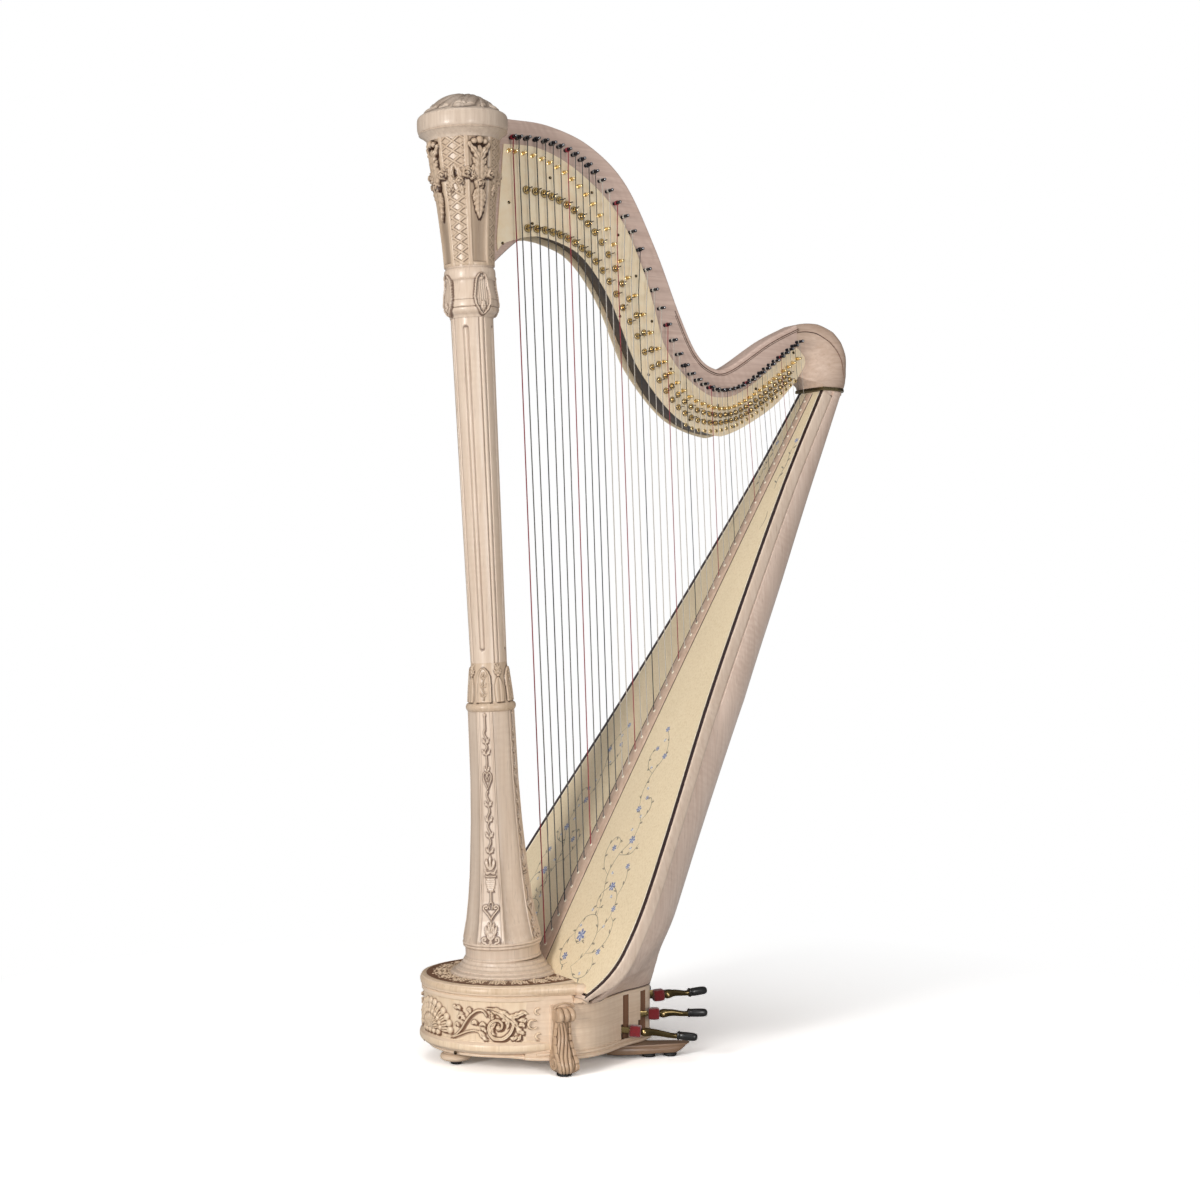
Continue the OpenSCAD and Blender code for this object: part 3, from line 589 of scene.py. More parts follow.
def maple(name, light, mid, dark=DARK, grain_scale=(140, 140, 5), tilt=0, flame=0.35,
          flame_axis="Z", flame_scale=22, rough=0.38, coat=0.25, patina_and_shade=0.85, underside_shade=None):
    """Pale flamed wood: long grain, cross figure, tone drift, flecks, patina and painted shade
    in the hollows, and on request painted shade on faces that look down.
    """
    light, mid, dark = srgb(light), srgb(mid), srgb(dark)
    s = surface = Surface(name)
    grain = s.noise(s.coords(grain_scale, tilt), detail=6, rough=0.6, distortion=0.3)
    place = s.coords(tilt=tilt)
    colour = s.ramp(grain, (0.25, mid), (0.72, light))
    waves = s.wave(place, flame_scale, distortion=7.0, detail=3, axis=flame_axis,
                   detail_scale=1.4)
    patches = s.ramp(s.noise(place, scale=9.0, detail=2), (0.38, 0), (0.68, 1))
    figure = s.math("MULTIPLY", s.math("MULTIPLY", waves, patches), flame)
    colour = s.mix(figure, colour, mid)
    tone = s.ramp(s.noise(place, scale=3.2, detail=3), (0.3, 0.90), (0.7, 1.04))
    colour = s.mix(1.0, colour, tone, "MULTIPLY")
    x, y, z = grain_scale
    fine = s.noise(s.coords((x * 2.2, y * 2.2, z * 4), tilt), detail=2)
    flecks = s.ramp(fine, (0.62, 0), (0.70, 1))
    colour = s.mix(s.math("MULTIPLY", flecks, 0.16), colour, dark)
    # cav paints patina and painted shade into the colour, in hollows and beside raised parts
    cavity = s.node("Attribute", attribute_name="cav").outputs["Fac"]
    colour = s.mix(s.math("MULTIPLY", cavity, patina_and_shade), colour, dark)
    if underside_shade:  # faces that look down get painted shade
        normal = s.node("NewGeometry").outputs["True Normal"]
        down = s.math("LESS_THAN", s.node("SeparateXYZ", {0: normal}).outputs[2], -0.28)
        colour = s.mix(s.math("MULTIPLY", down, 0.94), colour, srgb(underside_shade))
    relief = s.math("ADD", s.math("MULTIPLY", grain, 0.5), s.math("MULTIPLY", flecks, -0.5))
    s.bump(relief, strength=0.12, distance=0.0006)
    roughness = s.ramp(grain, (0.2, rough + 0.10), (0.8, rough - 0.05))
    return surface.finish(Base_Color=colour, Roughness=roughness, Coat_Weight=coat,
                          Coat_Roughness=0.22, Specular_IOR_Level=0.4)


def spruce(name):
    """Straight-grained board with a faint silk across the grain."""
    surface = Surface(name)
    tilt = -29.6
    line = surface.noise(surface.coords((420, 420, 3.0), tilt), detail=3, distortion=0.15)
    place = surface.coords()
    colour = surface.ramp(line, (0.30, srgb((217, 196, 160))), (0.5, srgb((229, 210, 176))),
                          (0.8, srgb((234, 217, 186))))
    tone = surface.ramp(surface.noise(place, scale=4.0, detail=3), (0.3, 0.95), (0.7, 1.02))
    colour = surface.mix(1.0, colour, tone, "MULTIPLY")
    silk = surface.noise(surface.coords((40, 40, 300), tilt), detail=2)
    silk = surface.math("MULTIPLY", surface.ramp(silk, (0.45, 0), (0.75, 1)), 0.10)
    colour = surface.mix(silk, colour, srgb((252, 240, 212)))
    surface.bump(line, strength=0.05, distance=0.0004)
    return surface.finish(Base_Color=colour, Coat_Weight=0.3, Coat_Roughness=0.2,
                          Roughness=surface.ramp(line, (0.2, 0.42), (0.8, 0.34)))


def metal(name, first, second, rough, metallic=1.0, scale=(60, 60, 60), bump=0.05, coat=0.0,
          wear=None):
    """Metal clouded between two colours; wear is the colour of its worn edges."""
    surface = Surface(name)
    fine = surface.noise(surface.coords(scale), detail=5, rough=0.6)
    clouds = surface.noise(surface.coords(), scale=55.0, detail=3)
    colour = surface.ramp(clouds, (0.3, srgb(first)), (0.7, srgb(second)))
    if wear:
        pointed = surface.node("NewGeometry").outputs["Pointiness"]
        edges = surface.math("MULTIPLY", surface.ramp(pointed, (0.50, 0), (0.56, 1)), 0.6)
        colour = surface.mix(edges, colour, srgb(wear))
    surface.bump(fine, strength=bump, distance=0.0003)
    return surface.finish(Base_Color=colour, Metallic=metallic, Coat_Weight=coat,
                          Roughness=surface.ramp(fine, (0.25, rough[0]), (0.75, rough[1])))


def plain(name, first, second, scale, rough, bump, coat=0.0, sheen=0.0, detail=4,
          bump_distance=0.0005):
    """Matt stuff mottled between two colours at a fine and a coarse scale."""
    surface = Surface(name)
    first, second = (0.3, srgb(first)), (0.7, srgb(second))
    fine = surface.noise(surface.coords(), scale=scale, detail=detail, rough=0.6)
    coarse = surface.noise(surface.coords(), scale=scale * 0.12, detail=3)
    colour = surface.mix(0.5, surface.ramp(fine, first, second),
                         surface.ramp(coarse, first, second))
    surface.bump(fine, strength=bump, distance=bump_distance)
    roughness = surface.ramp(fine, (0.3, rough), (0.7, min(1, rough + 0.1)))
    return surface.finish(Base_Color=colour, Roughness=roughness, Coat_Weight=coat,
                          Sheen_Weight=sheen)


def string_material(name, first, second, rough):
    surface = Surface(name)
    twist = surface.wave(surface.coords(), 520, distortion=0.3, detail=1)
    colour = surface.mix(surface.math("MULTIPLY", twist, 0.5), srgb(first), srgb(second))
    surface.bump(twist, strength=0.25, distance=0.0002)
    return surface.finish(Base_Color=colour,
                          Roughness=surface.ramp(twist, (0, rough), (1, rough + 0.12)))


def plain_string_material(name):
    """The strings nearest the column are metal, the others pale."""
    surface = Surface(name)
    place = surface.node("TexCoord").outputs["Object"]
    axes = surface.node("SeparateXYZ", {0: place}).outputs
    slanted = surface.math("ADD", axes[0], surface.math("MULTIPLY", axes[2], 0.041))
    wound = surface.math("LESS_THAN", slanted, 0.391)
    twist = surface.wave(surface.coords(), 520, distortion=0.2, detail=1)
    gut = surface.mix(surface.math("MULTIPLY", twist, 0.4), srgb((168, 160, 150)),
                      srgb((206, 200, 190)))
    steel = surface.mix(twist, srgb((58, 56, 54)), srgb((132, 130, 128)))
    surface.bump(twist, strength=0.4, distance=0.0003)
    return surface.finish(Base_Color=surface.mix(wound, gut, steel),
                          Roughness=surface.ramp(twist, (0, 0.24), (1, 0.4)),
                          Metallic=surface.math("MULTIPLY", wound, 0.85))


ALONG_X = (6, 6, 150)       # grain scales: the smallest numbers lie along the grain
ALONG_NECK = (7, 140, 140)
ALONG_BOX = (140, 140, 6)

COLUMN = maple("maple_column", light=(219, 200, 181), mid=(200, 177, 156), dark=(76, 45, 29))
CARVED = maple("maple_carved", light=(232, 211, 184), mid=(214, 187, 156), dark=(104, 66, 42),
               flame=0.2, patina_and_shade=1.0)
CARVED_RING = maple("maple_carved_ring", light=(222, 198, 170), mid=(200, 172, 142),
                    dark=(60, 34, 20), flame=0.2, patina_and_shade=1.0)
BASE = maple("maple_base", light=(230, 208, 184), mid=(210, 183, 156), grain_scale=ALONG_X,
             flame=0.5, flame_axis="X")
# the neck's faces that look down get painted shade, nearly black
NECK = maple("maple_neck", light=(214, 190, 177), mid=(190, 163, 149), grain_scale=ALONG_NECK,
             tilt=35, flame=0.6, flame_axis="X", patina_and_shade=1.0, coat=0.05, underside_shade=(24, 15, 10))
SHOULDER = maple("maple_shoulder", light=(214, 190, 172), mid=(188, 161, 141), tilt=35,
                 grain_scale=ALONG_NECK, flame=0.5, flame_axis="X", patina_and_shade=1.0)
BODY = maple("maple_body", light=(232, 210, 194), mid=(210, 184, 167),
             grain_scale=(150, 150, 6), tilt=-22, flame=0.7, flame_scale=26)
RIM = maple("maple_rim", light=(228, 208, 190), mid=(208, 184, 164), grain_scale=ALONG_BOX,
            tilt=-30, flame=0.4, coat=0.35)
RIB = maple("maple_rib", light=(212, 186, 166), mid=(186, 156, 134), grain_scale=ALONG_BOX,
            tilt=-30, flame=0.3)
BEECH = maple("beech_inner", light=(206, 178, 140), mid=(184, 152, 112), dark=(110, 76, 46),
              flame=0.1, rough=0.6, coat=0.0)
SCROLL = maple("maple_scroll", light=(200, 172, 143), mid=(172, 142, 114), dark=(70, 42, 26),
               flame=0.15, patina_and_shade=1.0)
# darker than the column's maple: painted shade on the crown
CROWN_SHADED = maple("maple_crown_painted_shade", light=(212, 194, 176), mid=(188, 168, 150), dark=(74, 56, 44),
              flame=0.1, patina_and_shade=1.0)
CAPITAL = maple("maple_capital", light=(208, 186, 162), mid=(184, 158, 132),
                dark=(62, 37, 23), flame=0.2, patina_and_shade=1.0)
# dark wood for the inside of the pedal slots and the box: painted shade
BOX_INTERIOR_SHADE = maple("box_interior_painted_shade", light=(132, 92, 64), mid=(104, 70, 48),
                     dark=(60, 38, 24), flame=0.1, rough=0.6, coat=0.0)
# darker copy of the base's maple: painted shade on the runners
SHADED_RUNNER_WOOD = maple("maple_runner_painted_shade", light=(150, 121, 97), mid=(122, 95, 73), grain_scale=ALONG_X,
               flame=0.4, flame_axis="X")
# dark wood for the base's top under the carved ring: painted shade between the leaves
CARVING_GROUND_SHADE = maple("carving_ground_painted_shade", light=(126, 90, 64), mid=(98, 66, 44),
                       dark=(60, 38, 24), flame=0.1, rough=0.6, coat=0.0)

PLATE = metal("plate_champagne", (248, 226, 190), (252, 236, 206), rough=(0.34, 0.46),
              metallic=0.3, scale=(30, 900, 900), bump=0.03, coat=0.15)
BRASS = metal("brass_polished", (222, 180, 98), (246, 214, 142), rough=(0.12, 0.22),
              wear=(255, 240, 200))
SATIN_BRASS = metal("brass_satin", (206, 166, 92), (234, 200, 130), rough=(0.18, 0.3),
                    wear=(255, 236, 190))
BLUED_STEEL = metal("steel_blued", (22, 28, 40), (40, 48, 64), rough=(0.14, 0.28),
                    metallic=0.9)
STEEL = metal("steel_bright", (150, 150, 152), (190, 190, 192), rough=(0.2, 0.34))
BRONZE = metal("bronze_dark", (20, 15, 9), (50, 39, 20), rough=(0.14, 0.28), metallic=0.95,
               wear=(170, 148, 100))
RING_BRONZE = metal("ring_bronze", (62, 54, 36), (92, 82, 58), rough=(0.22, 0.38),
                    metallic=0.9, wear=(150, 136, 100))
DARK_SCREW = metal("screw_dark", (40, 30, 20), (66, 50, 30), rough=(0.2, 0.35), metallic=0.9)

SHOE_RUBBER = plain("rubber_shoe", (7, 7, 8), (16, 16, 17), scale=900, rough=0.26, bump=0.10,
                    coat=0.3)
FOOT_RUBBER = plain("rubber_foot", (16, 15, 15), (34, 33, 33), scale=700, rough=0.5, bump=0.2)
BINDING = plain("binding_dark", (30, 14, 14), (52, 28, 30), scale=500, rough=0.3, bump=0.06,
                coat=0.4)
FELT = plain("felt_crimson", (96, 4, 14), (140, 12, 26), scale=1400, rough=0.9, bump=0.9,
             sheen=0.6, detail=8, bump_distance=0.0012)
# dark prongs, hubs and slots of the discs, and the painted shadow ring behind each disc
DARK_PARTS_AND_SHADOW = plain("dark_parts_and_painted_shadow", (34, 22, 12), (60, 40, 22), scale=600, rough=0.34, bump=0.1,
               coat=0.2)
IVORY = plain("eyelet_ivory", (238, 228, 206), (250, 244, 228), scale=600, rough=0.3,
              bump=0.05, coat=0.3)
VINE_PAINT = plain("paint_vine", (112, 104, 92), (150, 140, 122), scale=300, rough=0.5,
                   bump=0.1)
BLUE_PAINT = plain("paint_blue", (84, 92, 132), (132, 142, 176), scale=260, rough=0.5,
                   bump=0.1)
PALE_PAINT = plain("paint_pale", (196, 198, 206), (228, 228, 230), scale=260, rough=0.5,
                   bump=0.1)

RED_STRING = string_material("string_red", (120, 18, 34), (168, 44, 58), rough=0.34)
BLACK_STRING = string_material("string_black", (16, 17, 22), (40, 42, 52), rough=0.3)
PLAIN_STRING = plain_string_material("string_plain_mixed")
SPRUCE = spruce("spruce_board")


# ---------------------------------------------------------------- column
# Diagonal panels face between the axes, cardinal ones face along X and Y.
def build_crown():
    """Domed crown with five curling leaves, turned from (radius, z) rows below."""
    profile = curve([(70, 1788.2), (72.5, 1793), (78, 1798), (83, 1802), (86, 1803.4),
                     (84.2, 1805.0), (86.4, 1807), (88, 1812), (88.3, 1820), (88, 1829),
                     (86.6, 1834.6), (83.5, 1838.0), (80.5, 1839.2), (79, 1839.6)], 5)
    edge_radius, edge_z = 79, 1839.6
    dome_radius, rise = 63, 7.5  # the carved slope rises this much before the dome starts
    radius = np.linspace(edge_radius, 0.5, 110)
    slope = (edge_radius - radius) / (edge_radius - dome_radius) * rise
    bulge = 29 * clamp(1 - (radius / dome_radius) ** 2.3) ** 0.72
    z = edge_z + np.where(radius > dome_radius, slope, rise + bulge)
    angles = circle(320)
    carve = Relief(np.zeros((len(radius), len(angles))), radius[:, None] * np.cos(angles),
                   radius[:, None] * np.sin(angles))
    for k in range(5):
        start = k * 72 + 20

        def arc(offset, radii, twist):
            radii = np.array(radii)
            return polar(radii, np.radians(start + offset + twist * (1 - radii / 78)))

        carve.stroke(curve(arc(0, (6, 22, 40, 58, 70), 80), 6), (4.0, 9.0, 12.0, 11.0, 6.0),
                     5.2, groove=0.5)
        carve.stroke(curve(arc(34, (10, 26, 42, 58, 69), 74), 6), (2.0, 5.2, 7.0, 6.0, 3.0),
                     3.6)
        carve.dot(polar(66, math.radians(start + 2)), 10.5, 7.0)
        carve.leaf(arc(5, (54, 66, 75), 14), 9.5, 6.2, lobes=2)
    carve.dot((0, 0), 9, 2.5)
    height = carve.height
    # patina and painted shade in the hollows, painted shadows beside the leaves, painted shade
    # over the whole dome, and a painted shade line at the rim's step
    dark = np.maximum(hollows(height, 8, 1.2), shadows(height, 5, 0.4, 2.6)) * 0.9
    dark = np.maximum(dark, 0.52 * (radius < 62)[:, None])
    rim = np.zeros((len(profile), len(angles)))
    rim_dark = rim.copy()
    rim_dark[np.argmax(profile[:, 1] > 1803.5)] = 0.4
    all_radius = np.concatenate([profile[:, 0], radius])[:, None]
    all_z = np.concatenate([profile[:, 1], z])[:, None] + np.concatenate(
        [rim, height * clamp((edge_radius - radius) / 4)[:, None]])
    rings = xyz(all_radius * np.cos(angles), all_radius * np.sin(angles), all_z)
    Piece().loft(leaned(rings), np.concatenate([rim_dark, dark * 0.9])).build(
        "capital_crown_carved", CROWN_SHADED, "maple_column", "capital_crown")


# (z, radius)
CAPITAL_PROFILE = [(1545, 47.5), (1548, 48), (1560, 48.2), (1592, 50), (1640, 54), (1672, 57),
                   (1700, 61), (1742, 66), (1762, 68), (1782, 68.5), (1788, 70)]


def carve_capital_leaves(height, radius, z, angles, diagonal, cardinal):
    carve = Relief(height, cardinal, z)
    carve.leaf([(0, 1700), (0, 1722), (0, 1748), (0, 1772)], 15, 4.2, lobes=5)
    carve.leaf([(0, 1694), (0, 1676), (0, 1656), (0, 1634)], 12.5, 4.6, lobes=5)
    # line, half-width, height
    for line, width, rise in (
            ([(0, 1742), (8, 1756), (17, 1768), (24, 1774)], 7, 6.0),
            ([(0, 1730), (8, 1738), (14, 1748)], 5.5, 4.6),
            ([(3, 1690), (9, 1678), (11, 1664)], 5, 4.2),
            ([(10, 1712), (15, 1722), (12, 1735)], 5, 4.6)):
        carve.leaf(line, width, rise, lobes=3, sides=BOTH)
    carve.dot((0, 1780), 7.5, 8.0)
    carve.dot((11, 1778), 6.0, 7.0, sides=BOTH)
    carve.dot((20, 1773), 4.6, 5.5, sides=BOTH)
    carve.rose((0, 1699), 11.5, 9.0, turn=1.0)
    carve.rose((-13, 1711), 8.0, 7.0, turn=2.4)
    carve = Relief(height, diagonal, z)
    carve.leaf([(6, 1700), (10, 1716), (8, 1732)], 6, 3.8, lobes=3, sides=BOTH)
    carve.leaf([(5, 1702), (11, 1692), (13, 1676)], 6, 4.4, lobes=3, sides=BOTH)
    carve.leaf([(0, 1712), (5, 1722), (2, 1736)], 4.4, 3.4, lobes=2, sides=BOTH)
    carve.rose((9.5, 1704), 10.0, 7.5, turn=2.0)
    carve.rose((-10.5, 1690), 8.5, 6.5, turn=0.4)
    # roses on the ribs; the very middle of a diagonal panel counts as a rib too
    from_rib = wrapped(angles - math.pi / 8, math.pi / 4)[None, :] * radius
    Relief(height, np.where(np.abs(diagonal) > 0, from_rib, 0), z).rose((0, 1719), 12.5, 9.5)


def build_capital():
    """Flared head of the column: eight ribs, lattice and flutes between, leaves and roses."""
    rows, angles = np.linspace(1545.2, 1788, 250), circle(440)
    radius, z = turned_grid(rows, angles, CAPITAL_PROFILE)
    diagonal = sector(angles, radius, math.pi / 4)
    cardinal = sector(angles, radius, 0.0)
    rib = 4.4
    half_pitch = radius * math.pi / 4 / 2
    panel = half_pitch - rib
    from_rib = np.abs(np.abs(diagonal) - half_pitch)
    height = np.maximum(-2.2, 1.6 * dome(from_rib / rib, 0.35))
    height = np.where(from_rib < rib, np.maximum(height, 0.4), height)

    # crossing straps on the diagonal panels, with studs between them
    on_diagonal = np.abs(diagonal) < panel
    spacing, slant, strap = 19.0, 0.66, 1.9
    phases = [(z - 1545 + way * slant * diagonal + 3) % spacing for way in (1, -1)]
    from_strap = np.full(z.shape, 99.0)
    for way, phase in zip((1, -1), phases):
        off = phase - spacing / 2
        away = np.abs(off) / math.hypot(1, slant)
        from_strap = np.minimum(from_strap, np.where(off * way > 0, away, away + 0.9))
        raised = 1.6 * dome(away / strap, 0.4) - 0.4 + (0.5 if way > 0 else 0)
        height = np.where(on_diagonal & (away < strap), np.maximum(height, raised), height)
    stud = np.maximum(*[np.abs(wrapped(phase / spacing, 1.0)) for phase in phases])
    raised = -2.2 + 1.7 * clamp(1 - stud / 0.24) ** 0.5
    height = np.where(on_diagonal & (stud < 0.24), np.maximum(height, raised), height)

    # hollow flutes on the cardinal panels, above a narrow band
    on_cardinal = np.abs(cardinal) < panel
    height = np.where(on_cardinal, -3.6 * dome(cardinal / panel, 0.7) + 0.2, height)
    height = np.where(z < 1552, np.maximum(height, 0.6), height)
    carve_capital_leaves(height, radius, z, angles, diagonal, cardinal)

    # patina and painted shade in the hollows, painted shadows beside raised carving, deeper
    # painted shade in the flutes, and painted shadow lines along the lattice straps
    dark = np.maximum(hollows(height, 12, 1.8), shadows(height, 5, 0.5, 2.4))
    flute_dark = np.maximum(dark, 0.42 * clamp((-height - 0.5) / 3.0))
    dark = np.where(on_cardinal, flute_dark, dark)
    strap_dark = np.maximum(dark * 0.35, 0.92 * np.exp(-((from_strap - 2.5) / 0.95) ** 2))
    dark = np.where(on_diagonal & (height < 0.2), strap_dark, dark)
    column_piece(rows, angles, radius + height, dark).build(
        "capital_carved", CAPITAL, "maple_column", "column_capital", angle=60)


def panel_inset(across, half_width):
    """Distance inside a panel's outline, zero outside it."""
    return np.clip(half_width - np.abs(across), 0, 50)


def build_bulb():
    """Moulded bulb under the capital, with an arched leaf on each cardinal side."""
    rows, angles = np.linspace(1446.2, 1545.1, 150), circle(340)
    profile = curve([  # (z, radius)
        (1446, 42.5), (1452, 44.5), (1458, 50), (1464, 51.2), (1466, 49.6), (1468, 51.4),
        (1474, 51.6), (1479, 50.8), (1481, 49.4), (1483, 50.4), (1498, 47.5), (1512, 45.8),
        (1518, 46.2), (1521, 48.4), (1524, 49.4), (1531, 50.0), (1538, 49.4), (1541, 47.6),
        (1543, 46.8), (1545.2, 47.2)], 6)
    radius, z = turned_grid(rows, angles, profile)
    leaf_radius = 48.0
    across = sector(angles, leaf_radius * np.ones(z.shape), 0.0)
    inset = panel_inset(across, lookup(z, [  # (z, half-width)
        (1449, 0), (1452, 4.5), (1458, 9.5), (1470, 15.5), (1485, 17.5), (1500, 15.0),
        (1513, 13.5), (1522, 11.0), (1528, 7.0), (1531, 0)]))
    body = leaf_radius + 2.6 * np.sin(np.pi * clamp((z - 1446) / 60)) - radius
    rim = 4.6 * dome((inset - 2.0) / 2.2)
    well = (1.8 + 0.5 * np.cos(2 * np.pi * across / 4.2) * (np.abs(across) < 12)
            - 1.2 * dome(np.abs(across) / 12, 1))
    leaf = np.maximum(rim, well) + np.clip(body, 0, 4)
    height = np.where(inset > 0, np.maximum(leaf * smooth(0, 1.2, inset), 0.05), 0.0)
    carve = Relief(height, across, z)
    carve.leaf([(0, 1458), (0, 1468), (0, 1478)], 5, 5.2, lobes=2)
    carve.dot((0, 1519), 4.0, 5.2)
    # patina and painted shade in the hollows, painted shadows beside the leaf
    dark = np.maximum(hollows(radius + height, 10, 1.2), shadows(height, 4, 0.5, 2.2) * 0.9)
    column_piece(rows, angles, radius + height, dark).build(
        "capital_bulb", COLUMN, "maple_column", angle=60)


def build_shaft():
    """Tapered shaft with eight beaded flutes."""
    rows = np.concatenate([np.linspace(778.1, 830, 36), np.linspace(840, 1395, 40),
                           np.linspace(1402, 1446, 30)])
    angles = circle(448)
    radius, z = turned_grid(rows, angles, [(778, 35.5), (1446, 41.5)])
    height = np.zeros_like(radius)
    half = 5.9 * radius / 38.5
    depth = -2.3
    # centre angle, low and high end; the cardinal flutes run out past the shaft's ends
    for centre, low, high in ((math.pi / 4, 802, 1430), (0.0, 760, 1460)):
        across = sector(angles, radius, centre)

        def from_line(end):
            past = np.maximum(0, np.maximum(low + end - z, z - (high - end)))
            return np.hypot(across, past) / half

        flute, bead = from_line(5), from_line(6.5)
        height = np.where(flute < 1.25, depth * (1 - smooth(0.86, 1.2, flute)), height)
        raised = np.maximum(height, depth + 2.9 * dome(bead / 0.66))
        height = np.where(bead < 0.66, raised, height)
    # patina and painted shade in the flutes, painted shadows beside the beads
    dark = np.maximum(hollows(radius + height, 4, 0.8), shadows(height, 3, 0.4, 1.6) * 0.8)
    column_piece(rows, angles, radius + height, dark * 0.9).build(
        "column_shaft_fluted", COLUMN, "maple_column", "column_shaft", angle=70)


def build_collar():
    """Collar under the shaft: arched panels on the diagonals, leaves on the cardinals."""
    rows, angles = np.linspace(684.1, 778, 150), circle(380)
    profile = curve([  # (z, radius)
        (684, 45), (686, 47.0), (690, 48.8), (694, 48.8), (698, 47.0), (700.5, 44.0),
        (702.5, 42.6), (704, 41.6), (712, 41), (730, 39.4), (752, 37), (772, 35.6),
        (778.2, 35.4)], 6)
    radius, z = turned_grid(rows, angles, profile)
    diagonal = sector(angles, radius, math.pi / 4)
    cardinal = sector(angles, radius, 0.0)

    inset = (z > 702) * panel_inset(diagonal, lookup(z, [
        (702, 15.6), (735, 15.2), (752, 13.6), (762, 9.5), (768, 4.0), (770, 0)]))
    panel = np.maximum(smooth(0, 1.0, inset) * 2.2, 4.0 * dome((inset - 2.0) / 2.1))
    height = np.where(inset > 0, panel, 0.0)
    carve = Relief(height, diagonal, z)
    carve.stroke(curve([(0, 706), (1.5, 718), (-1.5, 732), (0.5, 744), (0, 756)], 6), 1.3, 4.4)
    for line, width in (([(0, 712), (4, 718), (6, 724)], 2.8),
                        ([(0, 730), (4, 735), (5.5, 741)], 2.8),
                        ([(0, 746), (3, 752), (6, 754)], 2.6)):
        carve.leaf(line, width, 4.4, lobes=2, sides=BOTH)
    carve.dot((0, 758), 3.0, 4.8)
    carve.dot((3.6, 753), 2.3, 4.4, sides=BOTH)

    inset = (z > 702) * panel_inset(cardinal, lookup(z, [
        (702, 9.0), (715, 10.5), (735, 9.5), (746, 6.0), (752, 0)]))
    leaf = 3.2 * smooth(0, 2.6, inset) * (1 - 0.25 * np.exp(-(cardinal / 2.2) ** 2))
    height = np.where(inset > 0, np.maximum(height, leaf), height)
    carve = Relief(height, cardinal, z)
    carve.leaf([(1.5, 754), (5, 761), (8.5, 765)], 3.2, 3.6, lobes=2, sides=BOTH)
    carve.leaf([(0.5, 760), (3, 768), (5, 775)], 2.8, 3.2, lobes=2, sides=BOTH)
    carve.leaf([(0, 756), (0, 766), (0, 777)], 3.6, 3.8, lobes=3)
    carve.dot((0, 754), 3.2, 4.4)
    # patina and painted shade in the hollows, painted shadows beside the carving
    dark = np.maximum(hollows(height, 10, 1.2), shadows(height, 4, 0.5, 2.2) * 0.9)
    column_piece(rows, angles, radius + height, dark).build(
        "column_collar_carved", CAPITAL, "maple_column", "column_collar", angle=60)


def spray(carve, low, high, sway, leaf_width, height, way=1):
    """S-curved stem with a pair of leaves at its foot."""
    z = np.linspace(low, high, 14)
    x = way * sway * np.sin((z - low) / (high - low) * 2 * math.pi)
    carve.stroke(np.stack([x, z], -1), 1.35, height)
    carve.leaf([(0, low), (leaf_width * 0.6, low + 5), (leaf_width, low + 12)], 2.9,
               height * 1.05, lobes=2, base=0.15, sides=BOTH)


def carve_pedestal_ornament(carve, rise):
    """Hanging ornament of one diagonal face, from the top down."""
    both = {"sides": BOTH}
    carve.stroke(curve([(0, 676), (0, 660), (0, 650)], 4), 1.4, rise)
    carve.dot((0, 678), 3, rise)
    spray(carve, 622, 650, 2.6, 6.5, rise)
    spray(carve, 600, 622, 2.4, 8.0, rise, -1)
    carve.stroke(curve([(0, 600), (0.8, 588), (0, 574)], 4), 1.3, rise)
    carve.leaf([(0, 567), (3, 572), (5, 579)], 2.4, rise, lobes=2, **both)
    hoop = [(0, 560), (3.4, 566), (7.4, 562), (7.6, 554), (4, 544), (0, 534)]
    carve.stroke(curve(hoop, 6), (1.2, 1.5, 1.0), rise, **both)
    carve.stroke(curve([(0, 560), (2.6, 555), (0.8, 550)], 5), 1.0, rise * 0.8, **both)
    for k, way in enumerate((1, -1, 1, -1)):
        top = 530 - 30 * k
        spray(carve, top - 30, top, 2.4, 6.8 + 0.3 * k, rise, way)
    # woven basket with leaves standing in it
    carve.leaf([(0, 378), (6, 386), (7.5, 400)], 4.0, rise * 1.2, lobes=1, vein=0.2, **both)
    carve.leaf([(0, 374), (7, 372), (11, 380)], 3.0, rise, lobes=2, **both)
    carve.leaf([(0, 380), (0, 392), (0, 408)], 3.4, rise * 1.3, lobes=1, vein=0.1)
    x, z = carve.across, carve.up
    half = lookup(z, [(338, 3), (342, 6.5), (352, 9.5), (360, 8.5), (367, 10)])
    weave = (np.cos(2 * np.pi * (x + 0.6 * z) / 4.4) * np.cos(2 * np.pi * (x - 0.6 * z) / 4.4))
    index = np.flatnonzero((np.abs(x) < half) & (z > 338) & (z < 367))
    carve.raise_to(index, (0.9 + 0.5 * weave + 0.4).ravel()[index])
    carve.stroke([(-10, 366), (10, 366)], 1.6, rise * 1.2)
    carve.stroke([(-5, 338), (5, 338)], 1.4, rise)
    carve.stroke(curve([(0, 338), (0, 326), (0, 316)], 4), 1.6, rise)
    # two pairs of scrolls with leaves at the foot
    scroll = [curve([(0, 284), (5, 292), (12, 300)], 5),
              spiral((9.5, 306), 6.2, 1.0, -60, 1.1, 22)]
    carve.stroke(np.concatenate(scroll), 1.8, rise * 1.1, **both)
    carve.stroke(curve([(0, 318), (3.5, 312), (2.5, 304)], 5), 1.3, rise, **both)
    scroll = [curve([(0, 240), (6, 236), (11, 240)], 4),
              spiral((12, 246), 6.2, 1.0, -90, 1.0, 20)]
    carve.stroke(np.concatenate(scroll), 2.0, rise * 1.1, **both)
    carve.leaf([(0, 244), (7, 258), (12, 272)], 4.6, rise * 1.3, lobes=3, **both)
    carve.leaf([(0, 246), (3.5, 264), (6, 279)], 4.0, rise * 1.3, lobes=3, **both)
    carve.leaf([(0, 238), (12, 234), (19, 240)], 3.6, rise, lobes=2, **both)
    carve.leaf([(0, 244), (0, 262), (0, 281)], 4.6, rise * 1.5, lobes=3)
    carve.dot((0, 241), 4.0, rise * 1.4)


